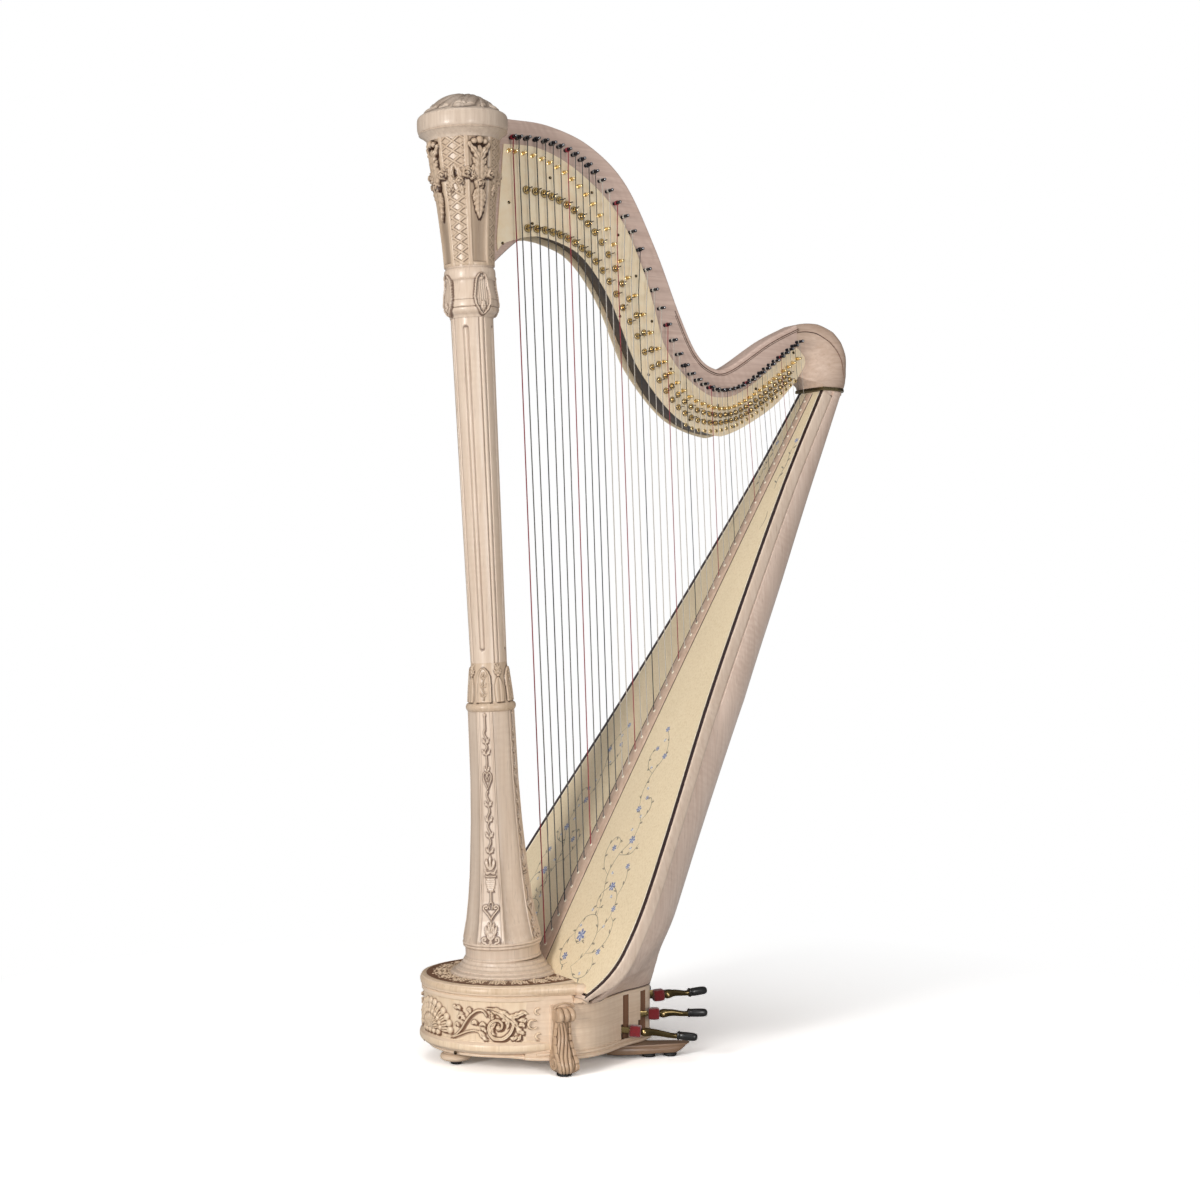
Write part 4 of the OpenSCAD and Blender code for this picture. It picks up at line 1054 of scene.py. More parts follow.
def build_pedestal():
    """Eight-sided flared foot of the column, carved on its diagonal faces."""
    half_face = math.pi / 8
    angles = []
    for k in range(8):
        count = 46 if k % 2 else 9  # fine columns on the carved faces, coarse on the plain
        share = np.arange(count) / count * 2 - 1
        angles.append(k * math.pi / 4 + np.arctan(share * math.tan(half_face)))
    angles = np.concatenate(angles)
    rows = np.linspace(232, 684, 440)
    corner, z = turned_grid(rows, angles, [  # (z, radius over the corners)
        (228, 80), (250, 74.2), (280, 67.6), (318, 62), (360, 57.4), (405, 54), (470, 49.6),
        (550, 46.5), (684, 45)])
    flat = corner * math.cos(half_face)  # radius over the flats
    radius = flat / np.cos(wrapped(angles, math.pi / 4))[None, :]
    radius = np.minimum(radius, flat / math.cos(half_face) - 0.9)
    turn = wrapped(angles - math.pi / 4, math.pi / 2)
    across = flat * np.tan(turn.clip(-1.2, 1.2))[None, :]
    edge = flat * math.tan(half_face) - np.abs(across)  # distance in from the face's edge
    diagonal = (np.abs(turn) < half_face + 1e-6)[None, :] & np.ones(z.shape, bool)
    ground = -3.0
    height = np.where(diagonal & (edge > 6.0) & (z < 676), ground, 0.0)
    # border beads: distance in from the edge, half-width, sinking
    for inset, width, sunk in ((2.4, 1.5, 0), (5.2, 1.3, 0.4)):
        bead = 1.5 * dome((edge - inset) / width) - sunk
        height = np.where(diagonal, np.maximum(height, bead), height)
    carve = Relief(np.full(z.shape, ground), across, z)
    carve_pedestal_ornament(carve, 2.9)
    height = np.where(diagonal & (edge > 6.6), np.maximum(height, carve.height), height)
    carved = np.where(diagonal, height, 0)
    # patina and painted shade in the hollows, painted shadows beside the carving, and painted
    # shade over the sunk ground
    dark = np.maximum(hollows(carved, 7, 0.8), shadows(carved, 3, 0.4, 1.5))
    dark = np.maximum(dark, 0.28 * (diagonal & (height < -2.0)))
    rounding = smooth(250, 233, z)  # the faces blend into the round band at the foot
    radius = radius * (1 - rounding) + 75.0 * rounding
    piece = column_piece(rows, angles, radius + height * (1 - rounding), dark * 0.95)
    piece.lathe(curve([(70, 200.2), (74.5, 201.5), (75.2, 204), (73.4, 206.5), (73, 210),
                       (73, 222), (73.8, 225), (76.5, 227), (77, 229.5), (75.5, 231.5),
                       (77.4, 233.2), (77.2, 235.4), (74, 237), (60, 237.6)], 5), 128, lean=True)
    piece.build("column_pedestal_carved", COLUMN, "maple_column", "column_pedestal", angle=50)


def build_plinth():
    profile = curve([(60, 170.2), (101, 170.2), (102.4, 172), (101.6, 174.6), (97, 176.2),
                     (94.2, 177.6), (93.8, 180), (90.2, 182), (86.2, 184.2), (84.6, 187),
                     (83.4, 189.6), (80.4, 191.4), (79.4, 194.4), (78.6, 196.6), (76.4, 198.6),
                     (74, 200.2), (40, 200.4)], 6)
    cut_at_board(Piece().lathe(profile, 160, centre=(-9.5, 0)).build(
        "column_plinth_turned", COLUMN, "maple_base", "column_plinth", angle=50))


# ---------------------------------------------------------------- base
# half plan (x, y) of the base from beside the drum to the rear
BASE_OUTLINE = curve([(-45.8, 158.7), (0, 171.8), (36, 181.6), (60, 186.6), (90, 183.5),
                      (120, 172.0), (150, 155.0), (178, 138.8), (191, 132.2), (240, 113),
                      (272, 89), (288, 53), (293.4, 0)], 6)

# side leaflets of the drum: line (distance round from the front, z), half-width
DRUM_LEAFLETS = (
    ([(70, 130), (75, 126), (79, 124)], 3.25), ([(76, 124), (83, 127), (86, 121)], 3.75),
    ([(84, 118), (89, 114), (92, 106)], 4.25), ([(88, 104), (93, 108), (98, 103)], 3.75),
    ([(74, 92), (79, 95), (84, 90)], 3.5), ([(100, 124), (106, 124), (108, 117)], 4.25),
    ([(110, 98), (117, 102), (121, 96)], 4.5), ([(126, 96), (133, 99), (139, 94)], 3.75),
    ([(94, 112), (86, 112), (80, 106)], 3.25), ([(128, 92), (136, 88), (140, 82)], 3.75),
    ([(124, 84), (130, 80), (138, 70), (143, 69)], 5.25),
    ([(196, 92), (204, 84), (212, 80)], 6.0), ([(200, 96), (207, 98), (211, 92)], 4.8),
    ([(204, 78), (200, 70), (196, 66)], 3.84), ([(200, 106), (208, 106), (214, 101)], 4.32),
    ([(184, 74), (192, 72), (198, 76)], 4.08), ([(206, 110), (212, 106), (216, 108)], 3.36))


def carve_drum(carve, rise):
    # shell of two fans of lobes at the front
    for k in range(-6, 7):
        x, y = polar(1, math.radians(90 + k * 14.5)) * (62 * 0.98, 50)
        carve.dot((x, 78 + y), 7.5, rise * 0.9)
        line = [(x * 0.55, 78 + y * 0.5), (x * 0.8, 78 + y * 0.8), (x, 78 + y)]
        carve.leaf(line, 6.5, rise, lobes=1, vein=0.45)
    for k in range(-5, 6):
        x, y = polar(1, math.radians(90 + k * 17)) * (36, 30)
        carve.dot((x, 80 + y), 6.0, rise * 1.25)
        line = [(0, 78), (x * 0.6, 80 + y * 0.6), (x, 80 + y)]
        carve.leaf(line, 4.6, rise * 1.2, lobes=1, vein=0.5)
    for x in (0, 14, 28):
        carve.dot((x, 73), 6.5, rise)
    # stems with their leaflets
    stem = [(64, 69), (76, 74), (88, 86), (97, 100), (108, 114), (121, 123), (133, 123),
            (140, 114)]
    carve.stroke(curve(stem), (1.2, 1.8, 2.2, 2.2, 1.6), rise * 0.75)
    stem = [(68, 68), (84, 75), (100, 82), (116, 85), (127, 82)]
    carve.stroke(curve(stem), (1.0, 1.6, 1.4), rise * 0.6)
    for line, width in DRUM_LEAFLETS:
        carve.leaf(line, width, rise, lobes=2, vein=0.25, base=0.3)
    # great volute
    volute = curve([(190, 116), (191, 100), (184, 82), (170, 71), (155, 72), (146, 82),
                    (145, 95), (152, 104), (162, 106), (169, 100), (168, 92), (162, 89)])
    carve.stroke(volute, (2.0, 3.0, 3.6, 3.4, 2.8, 2.2), rise * 1.15, groove=0.35)
    carve.dot((162, 92), 4.6, rise * 1.2)
    carve.leaf([(158, 103), (150, 92), (152, 82), (158, 78)], 4.4, rise, lobes=3)
    carve.leaf([(150, 106), (151, 114), (148, 122)], 3.8, rise, lobes=3)
    carve.leaf([(168, 104), (176, 108), (180, 98), (178, 90)], 5.0, rise * 0.9, lobes=3)
    # leaf over the volute with its tail, and rings beyond it
    carve.leaf([(146, 127), (160, 123), (176, 115), (190, 104), (198, 92), (206, 84)], 8.0,
               rise * 1.25, lobes=5, vein=0.4)
    carve.leaf([(178, 112), (190, 113), (202, 117), (210, 120), (219, 116)], 6.0, rise * 1.1)
    carve.stroke(curve([(140, 128), (150, 128), (164, 122), (178, 112)], 6), (1.0, 1.8, 1.4),
                 rise * 1.2)
    carve.stroke(spiral((227, 97), 8.5, 8.5, 40, 0.78, 26), (1.4, 2.8, 1.4), rise * 1.1)
    for x, y in ((237, 121), (238, 74)):
        carve.stroke(spiral((x, y), 5.4, 5.4, 60, 0.6, 16), 2.2, rise)
        carve.dot((x - 4, y - 3), 3.0, rise)


def build_drum():
    """Carved front half of the drum, alike on both sides of its middle."""
    angles = np.linspace(math.radians(88), math.radians(272), 560)
    profile = curve([  # (z, radius)
        (44, 163), (45.5, 168), (47, 171), (50, 172.6), (56, 172.8), (60, 171.4), (62, 168.8),
        (62.6, 166.6), (64, 167.6), (65.8, 167.2), (66.8, 165.4), (68, 165.2), (100, 165.2),
        (137, 165.2), (138.4, 165.4), (139.6, 167.4), (142, 168.6), (146, 168.8),
        (148.4, 167.8), (149.6, 164.8), (150.4, 164.6), (151.6, 167.4)])
    rows = np.unique(np.concatenate([np.linspace(44, 66, 34), np.linspace(66.5, 137.5, 84),
                                     np.linspace(138, 151.6, 30)]))
    radius, z = turned_grid(rows, angles, profile)
    round_drum = np.abs(angles - math.pi)[None, :] * 165 * np.ones(z.shape)
    carve = Relief(np.zeros(z.shape), round_drum, z)
    carve_drum(carve, 5.6)
    # the carving fades out at the mouldings above and below it
    height = carve.height * (((z > 67) & (z < 137.5)) * clamp((138 - z) / 2.5)
                             * clamp((z - 66.5) / 2.0))
    # patina and painted shade in the hollows, painted shadows beside the carving, and painted
    # shade lines in the creases of the mouldings
    dark = np.maximum(hollows(height, 8, 1.2, wrap=False),
                      shadows(height, 5, 0.5, 2.2, wrap=False) * 0.95)
    dark = np.maximum(dark, 0.75 * np.exp(-((z - 150.0) / 1.0) ** 2))
    dark = np.maximum(dark, 0.35 * np.exp(-((z - 62.8) / 0.8) ** 2))
    radius = radius + height
    outer = xyz(radius * np.cos(angles), radius * np.sin(angles), z)
    inner = xyz(160 * np.cos(angles), 160 * np.sin(angles), z)
    dark = np.concatenate([dark, np.zeros_like(dark)]).T
    Piece().loft(np.swapaxes(np.concatenate([outer, inner[::-1]]), 0, 1), dark).build(
        "drum_carving", CARVED, "maple_base", angle=60)


def build_drum_top():
    """Top moulding of the drum with a ring of leaves, closed at the soundboard."""
    angles = circle(720)
    rows = np.linspace(100, 157.5, 78)
    shape = np.ones((len(rows), len(angles)))
    ring_radius, repeats = 130, 20
    out = rows[:, None] * shape
    across = wrapped(angles * ring_radius * shape, 2 * np.pi * ring_radius / repeats)
    carve = Relief(np.zeros(shape.shape), across, out)
    carve.leaf([(0, 108), (5, 122), (11, 136), (15, 150)], 7.2, 6.2, sides=BOTH)
    carve.leaf([(19, 112), (15, 122), (17, 133)], 4.6, 5.0, lobes=3, sides=BOTH)
    for side in BOTH:
        carve.stroke(spiral((side * 9.5, 113), 5.0, 1.0, 0, 1.1 * side, 20), 1.7, 4.6)
    carve.leaf([(0, 112), (0, 128), (0, 153)], 6.5, 6.6, lobes=5)
    carve.dot((0, 109), 4, 6)
    height = carve.height
    height = height - 3.6 * (height <= 0) * clamp((157 - out) / 2) * clamp((out - 101) / 2)
    # patina and painted shade in the hollows, painted shadows beside the leaves, and painted
    # shade over the sunk ground
    dark = np.maximum(hollows(height, 7, 1.0), shadows(height, 4, 0.5, 2.0) * 0.9)
    ground = clamp((1.0 - height) / 1.7) * clamp((156.5 - out) / 1.5)
    dark = np.maximum(dark, ground * clamp((out - 101) / 1.5))
    edge = curve([  # (radius, z)
        (158.2, 168.4), (160.5, 169.7), (164, 169.6), (168.4, 167.6), (171.2, 164),
        (172.2, 159.5), (171.2, 155.0), (168.6, 152.0), (167.0, 149.6), (163, 148.6),
        (150, 148.6)], 5)
    # the moulding leaves the drum on a tangent to cover the scroll feet and the board's foot
    drum_radius = 172.0
    from_rear = np.abs(wrapped(angles, 2 * np.pi))
    leaves, ends = np.radians(106.1), np.radians(71.6)
    tangent = drum_radius / np.cos(np.clip(leaves - from_rear, 0, 1.0))
    reach = np.where(from_rear > ends, tangent, 208.7 - 40 * smooth(ends, 0.9, from_rear))
    reach = blurred(np.where(from_rear > leaves, drum_radius, reach)[None], 3, True)[0]
    edge_radius, edge_z = edge.T[..., None]
    edge_radius = edge_radius + (np.clip(reach - drum_radius, 0, 60)
                                 * clamp((edge_radius - 150) / 8))
    rings = np.concatenate([
        xyz(rows[:, None] * np.cos(angles), rows[:, None] * np.sin(angles), 166.4 + height),
        xyz(edge_radius * np.cos(angles), edge_radius * np.sin(angles), edge_z)])
    # painted shade line where the carved top meets the edge moulding
    edge_dark = np.zeros((len(edge), len(angles)))
    edge_dark[0] = 0.5
    cut_at_board(Piece().loft(rings, np.concatenate([dark, edge_dark])).build(
        "drum_top_carving", CARVED_RING, "maple_base", angle=60))


def build_base_frame():
    """Moulded bottom frame round drum and box, with the posts of the pedals' axle."""
    steps = curve([(3.0, 26.2), (-1.5, 26.6), (-3.6, 28.6), (-3.8, 31), (-2.2, 33),
                   (-0.4, 33.9), (0.6, 35.6)], 4)  # (inset, z)
    angles = np.linspace(math.radians(253), math.radians(107), 90)
    to_end = np.minimum(angles - angles[-1], angles[0] - angles)
    rings = []
    for inset, z in steps:
        front = polar(158.0 - inset - 5.0 * smooth(0, 0.35, to_end), angles)
        box = both_sides(BASE_OUTLINE - inset * unit(BASE_OUTLINE))
        x, y = np.concatenate([box, front]).T
        rings.append(xyz(x, y, z + 6.5 * smooth(-10, -80, x)))
    piece = Piece().loft(rings)
    for side in BOTH:
        low, high = side * 30 - 4.6, side * 30 + 4.6
        post = np.array([(-71, low), (-49, low), (-49, high), (-71, high)])
        piece.loft([xyz(*post.T, z) for z in (36, 66, 75.4)])
    piece.build("base_frame_moulded", BASE, "maple_base", "base_bottom", angle=50)


def build_drum_foot():
    profile = [(140, 38.6), (152.5, 38.7), (155.0, 40), (156.6, 41.4), (160, 42.2),
               (164.0, 43.2), (166, 44.6), (150, 44.8)]
    Piece().lathe(curve(profile, 4), 200).build("drum_foot_bead", BASE, "maple_base", angle=50)


def build_cheeks():
    """Swelling side walls beside the drum, lower behind the soundboard."""
    piece = Piece()
    outer = BASE_OUTLINE[BASE_OUTLINE[:, 0] < 171]
    inner = outer - unit(outer) * 11
    foot = 36.2
    top = 149.4 - 17.3 * smooth(40.5, 44.5, outer[:, 0])
    for side in BOTH:
        rings = []
        for share in (0, 0.3, 0.6, 0.9, 1.0):
            z = foot + (top - foot) * share
            rings.append(np.concatenate([xyz(outer[:, 0], outer[:, 1] * side, z),
                                         xyz(inner[:, 0], inner[:, 1] * side, z)[::-1]]))
        piece.loft(rings)
    piece.build("box_cheeks", BASE, "maple_base")


def build_heel():
    """Bar under the soundboard's foot, with a turned boss at each end."""
    piece = Piece()
    rings = []
    # place across, fullness of the section
    for y, full in ((-213, 0.0), (-211, 0.25), (-196, 0.7), (-178, 1),
                    (178, 1), (196, 0.7), (211, 0.25), (213, 0.0)):
        gone, low = 1 - full, 132.3
        back = board(-75.3, y, -12 - 13.0 * full)
        rings.append([board(-75.3, y, 0.2), back,
                      [back[0] - 3 * gone, y, low + (back[2] - low) * gone * 0.6],
                      [43.0 + 4 * gone, y, low + 8 * gone]])
    piece.loft(rings)
    profile = curve([(0.4, 169.4), (3.0, 169.6), (7.0, 168.6), (10.6, 166.0), (12.6, 162.6),
                     (13.2, 159.2), (12.4, 155.2), (10.4, 152.2), (8.8, 149.8), (6, 148.7),
                     (0.4, 148.6)], 4)
    for side in BOTH:
        piece.lathe(profile, 40, centre=(57.0, side * 192.5))
    piece.build("board_heel", BASE, "maple_base", angle=45)


def build_box_beads():
    """Two beads round the foot of the box walls."""
    piece = Piece()
    walls = BASE_OUTLINE[BASE_OUTLINE[:, 0] > -30]
    piece.tube(xyz(*both_sides(walls).T, 38.5), 2.8, 10)
    for side in BOTH:
        x, y = walls[walls[:, 0] < 176].T
        piece.tube(xyz(x, side * y, 43.8), 1.4, 10)
    piece.build("box_beads", BASE, "maple_base", angle=60)


# ---------------------------------------------------------------- feet
def build_front_foot():
    profile = curve([(0.5, 8.1), (20, 8.2), (26, 9.4), (30.5, 13), (31, 17), (28.5, 21),
                     (25, 23), (24.4, 25.8), (0.5, 26)], 5)
    Piece().lathe(profile, 72, centre=(FRONT_FOOT_X, 0)).build(
        "front_foot_bun", BASE, "maple_base", "front_foot", angle=50)


SCROLL_FOOT_X = 21


def build_scroll_foot(side, tag):
    """Fluted scroll foot beside the drum, with a three-lobed head and side volutes."""
    rows, front = curve([  # (z, y)
        (127.5, 172), (126.5, 186), (122, 197), (114, 202.5), (107, 200.5), (103, 194),
        (100, 188.5), (92, 187.5), (80, 187), (68, 188), (56, 191), (44, 197), (34, 204),
        (26, 209.5), (18, 211.8), (12, 210), (8, 204), (6.4, 194), (6.2, 180)]).T
    half = lookup(rows, [(6, 13.0), (10, 18.5), (15, 21.5), (26, 23.0), (42, 22.0), (64, 19.5),
                         (84, 17.5), (99, 15.5), (106, 19.5), (120, 19.5), (128, 16.5)])
    half = half[:, None]
    share, z = np.meshgrid(np.linspace(-1, 1, 96), rows)
    # flutes that swing sideways as they go down, a deep parting, curled border leaves
    swing = 0.22 * np.sin((z - 6) / 96 * 2 * np.pi + 0.4) + 0.10 * smooth(60, 10, z)
    parting = 0.44 + 0.10 * np.sin((z - 10) / 34)
    body = 4.6 * np.abs(np.cos((share + swing) * math.pi * 2.6)) ** 0.5 - 1.4
    body = body + 1.4 * np.cos(share * 2.0)
    border = 2.6 * np.abs(np.sin(z / 6.6 * math.pi / 2 + 0.6)) ** 0.6 + 0.8
    body = np.where(share > parting, border, body)
    border = 2.4 * np.abs(np.sin(z / 7.4 * math.pi / 2)) ** 0.6 + 0.2
    body = np.where(share < -0.78, border, body)
    body = (body - 5.0 * np.exp(-((share - parting) / 0.075) ** 2)
            - 2.0 * np.exp(-((share + 0.76) / 0.06) ** 2))
    lobes = 6.0 * np.abs(np.cos(share * math.pi * 1.5)) ** 0.5 - 1.6
    height = np.where(z < 101.5, body, lobes)
    notch = np.exp(-((z - 101.8) / 2.0) ** 2)
    height = height * (1 - notch) - 1.0 * notch
    edge = clamp((1 - np.abs(share)) / 0.10) ** 0.5
    height = height * edge
    step_y, step_z = unit(np.gradient(np.stack([front, rows], -1), axis=0)).T[..., None]
    carved_y = front[:, None] - step_z * height - 9 * (1 - edge)
    carved_z = np.minimum(np.maximum(z + step_y * height * 0.8, 6.05), 127.8)
    face = xyz(SCROLL_FOOT_X + half * share, carved_y, carved_z)
    back = xyz(SCROLL_FOOT_X + half * share * 0.98, 172.0, z)[:, ::-1]
    # patina and painted shade in the flutes, painted shadows below raised parts
    dark = np.maximum(hollows(height, 5, 1.2, wrap=False),
                      shadows(height[::-1], 3, 0.6, 2.6, wrap=False)[::-1] * 0.8)
    flip = [1, side, 1]
    piece = Piece().loft(np.concatenate([face, back], 1) * flip,
                         np.concatenate([dark, np.zeros_like(dark)], 1))
    for way in BOTH:
        y, z = spiral((0, 0), 15.5, 2.5, 100, 1.6, 44).T
        path = xyz(SCROLL_FOOT_X + way * 21.5, 190 + y * 0.95, np.maximum(25 + z, 9.5))
        # the volutes get a faint painted shade
        piece.tube(path * flip, np.linspace(3.2, 2.0, len(path)), 10, 0.1)
    share = np.linspace(-1, 1, 25)
    hood = xyz(SCROLL_FOOT_X + 21.5 * share, 190.0, 127.0 + 9.5 * (1 - share ** 2) ** 0.8)
    piece.tube(hood * flip, 2.0, 8)
    piece.build("scroll_foot_" + tag, SCROLL, "maple_base", "scroll_feet", angle=60)


def build_runner(side, tag):
    """Rear foot: rounded wedge with a moulded edge and a chamfered tip."""
    plan = curve([(150, 96), (168, 122), (200, 138), (262, 156), (306, 166), (319, 164),
                  (323, 156), (321, 146), (300, 130), (262, 110), (232, 94), (190, 92)], 5)
    inward = unit(plan - plan.mean(0))
    rings = np.array([xyz(*(plan - inward * inset).T, z) for z, inset in (
        (8.2, 3.2), (8.8, 1.2), (10.5, 0.2), (15, 0), (18.5, 0.4), (19.6, 2.0), (20.6, 2.2),
        (22, 1.0), (24, 0.8), (25.8, 1.6))])
    slant = smooth(270, 322, rings[..., 0]) * (25.8 - rings[..., 2]) / 17.6
    rings[..., 0] -= slant * 24
    rings[..., 1] -= slant * 6
    Piece().loft(rings * [1, side, 1]).build(
        "rear_runner_" + tag, SHADED_RUNNER_WOOD, "maple_base", "rear_feet", angle=50)


def build_pads():
    piece = Piece()
    scroll_pads = [(SCROLL_FOOT_X, y, 15, 5.9) for y in (-190, 190)]
    runner_pads = [(x, side * y, 13, 7.9) for x, y in ((243, 132), (284, 146)) for side in BOTH]
    for x, y, radius, top in [(FRONT_FOOT_X, 0, 11, 7.9)] + scroll_pads + runner_pads:
        profile = [(0.5, 0.05), (radius - 2.4, 0.05), (radius - 0.8, 0.6), (radius, 2.0),
                   (radius, top - 2.4), (radius - 0.7, top - 1.2), (radius - 1.6, top - 0.2),
                   (0.5, top)]
        piece.lathe(profile, 40, centre=(x, y))
    piece.build("foot_pads_rubber", FOOT_RUBBER, "rubber", "foot_pads")


def add_stud(piece, centre, normal, size):
    """Domed screw head on a wall."""
    profile = [(0.2, 0.0), (4.2, 0.0), (4.4, 0.6), (3.6, 1.8), (1.8, 2.5), (0.2, 2.7)]
    normal = unit(np.array(normal, float))
    first = unit(np.cross(normal, [0, 0, 1.0]))
    piece.loft(facing_rings(np.array(centre, float), normal, first, np.cross(normal, first),
                            np.array(profile) * size, 20))


def build_base_screws():
    screws, bolts = Piece(), Piece()
    for azimuth in np.radians((205, 155)):
        x, y = polar(1, azimuth)
        add_stud(screws, (163.2 * x, 163.2 * y, 38.5), (x, y, 0), 0.9)
    screws.build("drum_screws", DARK_SCREW, "steel")
    for side in BOTH:
        add_stud(bolts, (92, side * 168.2, 29.8), (0.25, side, 0), 0.7)
    bolts.build("frame_bolts", STEEL, "steel")


# ---------------------------------------------------------------- soundboard
HALF_WIDTHS = curve([  # (length along the board, half-width)
    (-75, 216), (-55, 238), (-25, 263), (10, 279), (50, 283), (110, 279), (179, 266),
    (307, 235), (565, 169), (820, 117), (1083, 71), (1306, 47)], 10)
PANEL_INSET = 13.1  # from the board's edge to the edge of the spruce


def half_width(along):
    return lookup(along, HALF_WIDTHS)


def belly(along, across):
    """Height of the arched spruce above the board's plane."""
    half = half_width(along) - PANEL_INSET
    return ((rib_height(along) - 2.3) * dome(across / half, 1)
            * smooth(BOARD_FOOT, BOARD_FOOT + 80, along))


def rib_seat(along, across):
    return (rib_height(along) - 2.3) * (1 - (across / (half_width(along) - 13)) ** 2)


def side_path(inset, head=1304.5):
    """Side edge of the board moved in: lengths along it and half-widths there."""
    along = np.concatenate([np.linspace(BOARD_FOOT + inset, 60, 26),
                            np.linspace(75, head, 84)])
    return along, half_width(along) - inset


def add_side_strips(piece, section, head=1304.5):
    """Strip up each side from a section of (inset, out) rows, shallower at its foot."""
    for side in BOTH:
        lines = []
        for inset, out in section:
            along, across = side_path(inset, head)
            foot = 0.36 + 0.64 * smooth(-75, -15, along)
            lines.append(board(along, side * across, out * foot if out < -4 else out))
        piece.strip(lines)


def add_foot_strip(piece, section, half, count):
    """Strip across the board's foot from a section of (length from the foot, out) rows."""
    across = np.linspace(-half, half, count)
    piece.strip([board(BOARD_FOOT + along, across, out) for along, out in section])


def build_belly():
    along, share = np.meshgrid(np.linspace(BOARD_FOOT + 13.2, 1303.5, 190),
                               np.sin(np.linspace(-1, 1, 72) * math.pi / 2), indexing="ij")
    across = share * (half_width(along) - PANEL_INSET)
    height = belly(along, across)
    low = board(along, across, height - 2.9)[:, ::-1]
    Piece().loft(np.concatenate([board(along, across, height), low], 1)).build(
        "soundboard_belly", SPRUCE, "spruce", "soundboard", angle=50)


def build_string_rib():
    """Crowned batten up the middle of the board, its edge lines and the string eyelets."""
    along = np.linspace(-62, 1300, 150)
    half = np.interp(along, [-62, 1300], [24, 11.0])
    share = np.linspace(-1, 1, 15)
    crown = 2.3 * (1 - np.abs(share) ** 5)
    rows, across = along[:, None], share * half[:, None]
    seat = rib_seat(rows, across)
    low = board(rows, across, seat - 1.0)[:, ::-1]
    Piece().loft(np.concatenate([board(rows, across, seat + crown + 0.02), low], 1)).build(
        "string_rib_crowned", RIB, "beech", "string_rib", angle=35)
    lines = Piece()
    for side in BOTH:
        edge = half + 0.1
        lines.tube(board(along, side * edge, rib_seat(along, edge) + 0.35), 0.75, 6)
    lines.build("rib_edge_lines", BINDING, "binding")
    eyelets = Piece()
    cos, sin = polar(1, circle(20)).T
    for i in range(STRINGS):
        place, outer = foot_along(i), 3.3 if i < 30 else 2.8
        seat = float(rib_height(place)) + 0.1
        profile = [(1.5, 0.0), (outer, 0.05), (outer, 0.5), (outer - 0.5, 1.1), (2.0, 1.25),
                   (1.6, 0.9), (1.5, 0.2)]
        rings = np.array([board(place + radius * cos, radius * sin, seat + rise)
                          for radius, rise in profile])
        eyelets.wall(rings)
        eyelets.wall(rings[[0, -1]])
    eyelets.build("string_eyelets_rings", IVORY, "binding", "string_eyelets")


def build_board_edge():
    """Dark binding, a fine pale line inside it, and the rim with its deep side band."""
    binding = Piece()
    add_side_strips(binding, [(13.05, -2.8), (13.05, 0.2), (12.2, 0.6), (8.5, 0.75),
                              (4.0, 0.7), (2.9, 0.4), (2.6, -0.6), (8.05, -2.8)])
    foot_half = half_width(BOARD_FOOT)
    add_foot_strip(binding, [(13.0, -2.8), (13.0, 0.3), (9.2, 0.6), (8.2, 0.2), (8.2, -2.8)],
                   foot_half - 9, 40)
    binding.build("edge_binding_line", BINDING, "binding", "edge_binding")
    purfling = Piece()
    for side in BOTH:
        along, across = side_path(14.2)
        purfling.tube(board(along, side * across, 0.25), 0.55, 6)
    purfling.build("edge_purfling", IVORY, "binding")
    rim = Piece()
    add_side_strips(rim, [
        (17.8, -3.2), (8.1, -3.1), (8.0, -1.4), (5.4, -1.0), (2.5, -0.6), (1.5, -0.9),
        (0.5, -1.8), (0.0, -3.2), (0.0, -9), (0.2, -20), (0.9, -24.6), (2.2, -25.9),
        (10, -RIM_DEPTH), (17.8, -25.9)], head=1304.0)
    add_foot_strip(rim, [(8, -3), (8, 0.2), (2, 0.2), (0.4, -1.5), (0.2, -11), (8, -11)],
                   foot_half, 50)
    rim.build("board_rim_rounded", RIM, "maple_body", "board_rim")


# ---------------------------------------------------------------- soundbox
SHELL_DEPTHS = curve([  # (z, depth along X behind the board's plane)
    (132, 250), (160, 233), (190, 220), (250, 208), (310, 199), (430, 181), (545, 166),
    (662, 152.5), (780, 141), (898, 130), (1000, 118), (1200, 91), (1343, 68)])
SHELL_START = RIM_DEPTH / BOARD_SIN + 0.4  # the shell starts this far behind the board
SIDE_POWER, BACK_POWER = 0.94, 0.95        # roundness of the shell's section
# sound holes: z of the centre, half-height, half-width as a share of the shell's
SOUND_HOLES = ((330, 62, 0.30), (520, 58, 0.31), (700, 50, 0.33), (870, 42, 0.35),
               (1030, 36, 0.38))


def shell_front(z):
    return BOARD_X + (z - BOARD_Z) / math.tan(BOARD_ANGLE) + SHELL_START


def shell_x(z, bulge):
    """x of the shell; bulge runs from 0 at its front edges to 1 at the middle of its back."""
    return shell_front(z) + (lookup(z, SHELL_DEPTHS) - SHELL_START) * bulge ** BACK_POWER


def shell_half(z):
    along = (z - BOARD_Z) / BOARD_SIN + RIM_DEPTH / math.tan(BOARD_ANGLE)
    half = np.minimum(half_width(np.maximum(-40, along)) - 1,
                      246 - 0.14 * along + 18 * clamp((along - 560) / 500))
    return np.minimum(half, lookup(z, [(132, 200), (145, 220), (160, 236), (178, 246),
                                       (200, 262), (240, 290)]))


def on_shell(y, z):
    """Points of the shell's back at given y and z."""
    side = clamp(np.abs(y) / shell_half(z)) ** (1 / SIDE_POWER)
    return xyz(shell_x(z, np.sqrt(1 - side ** 2)), y, z)


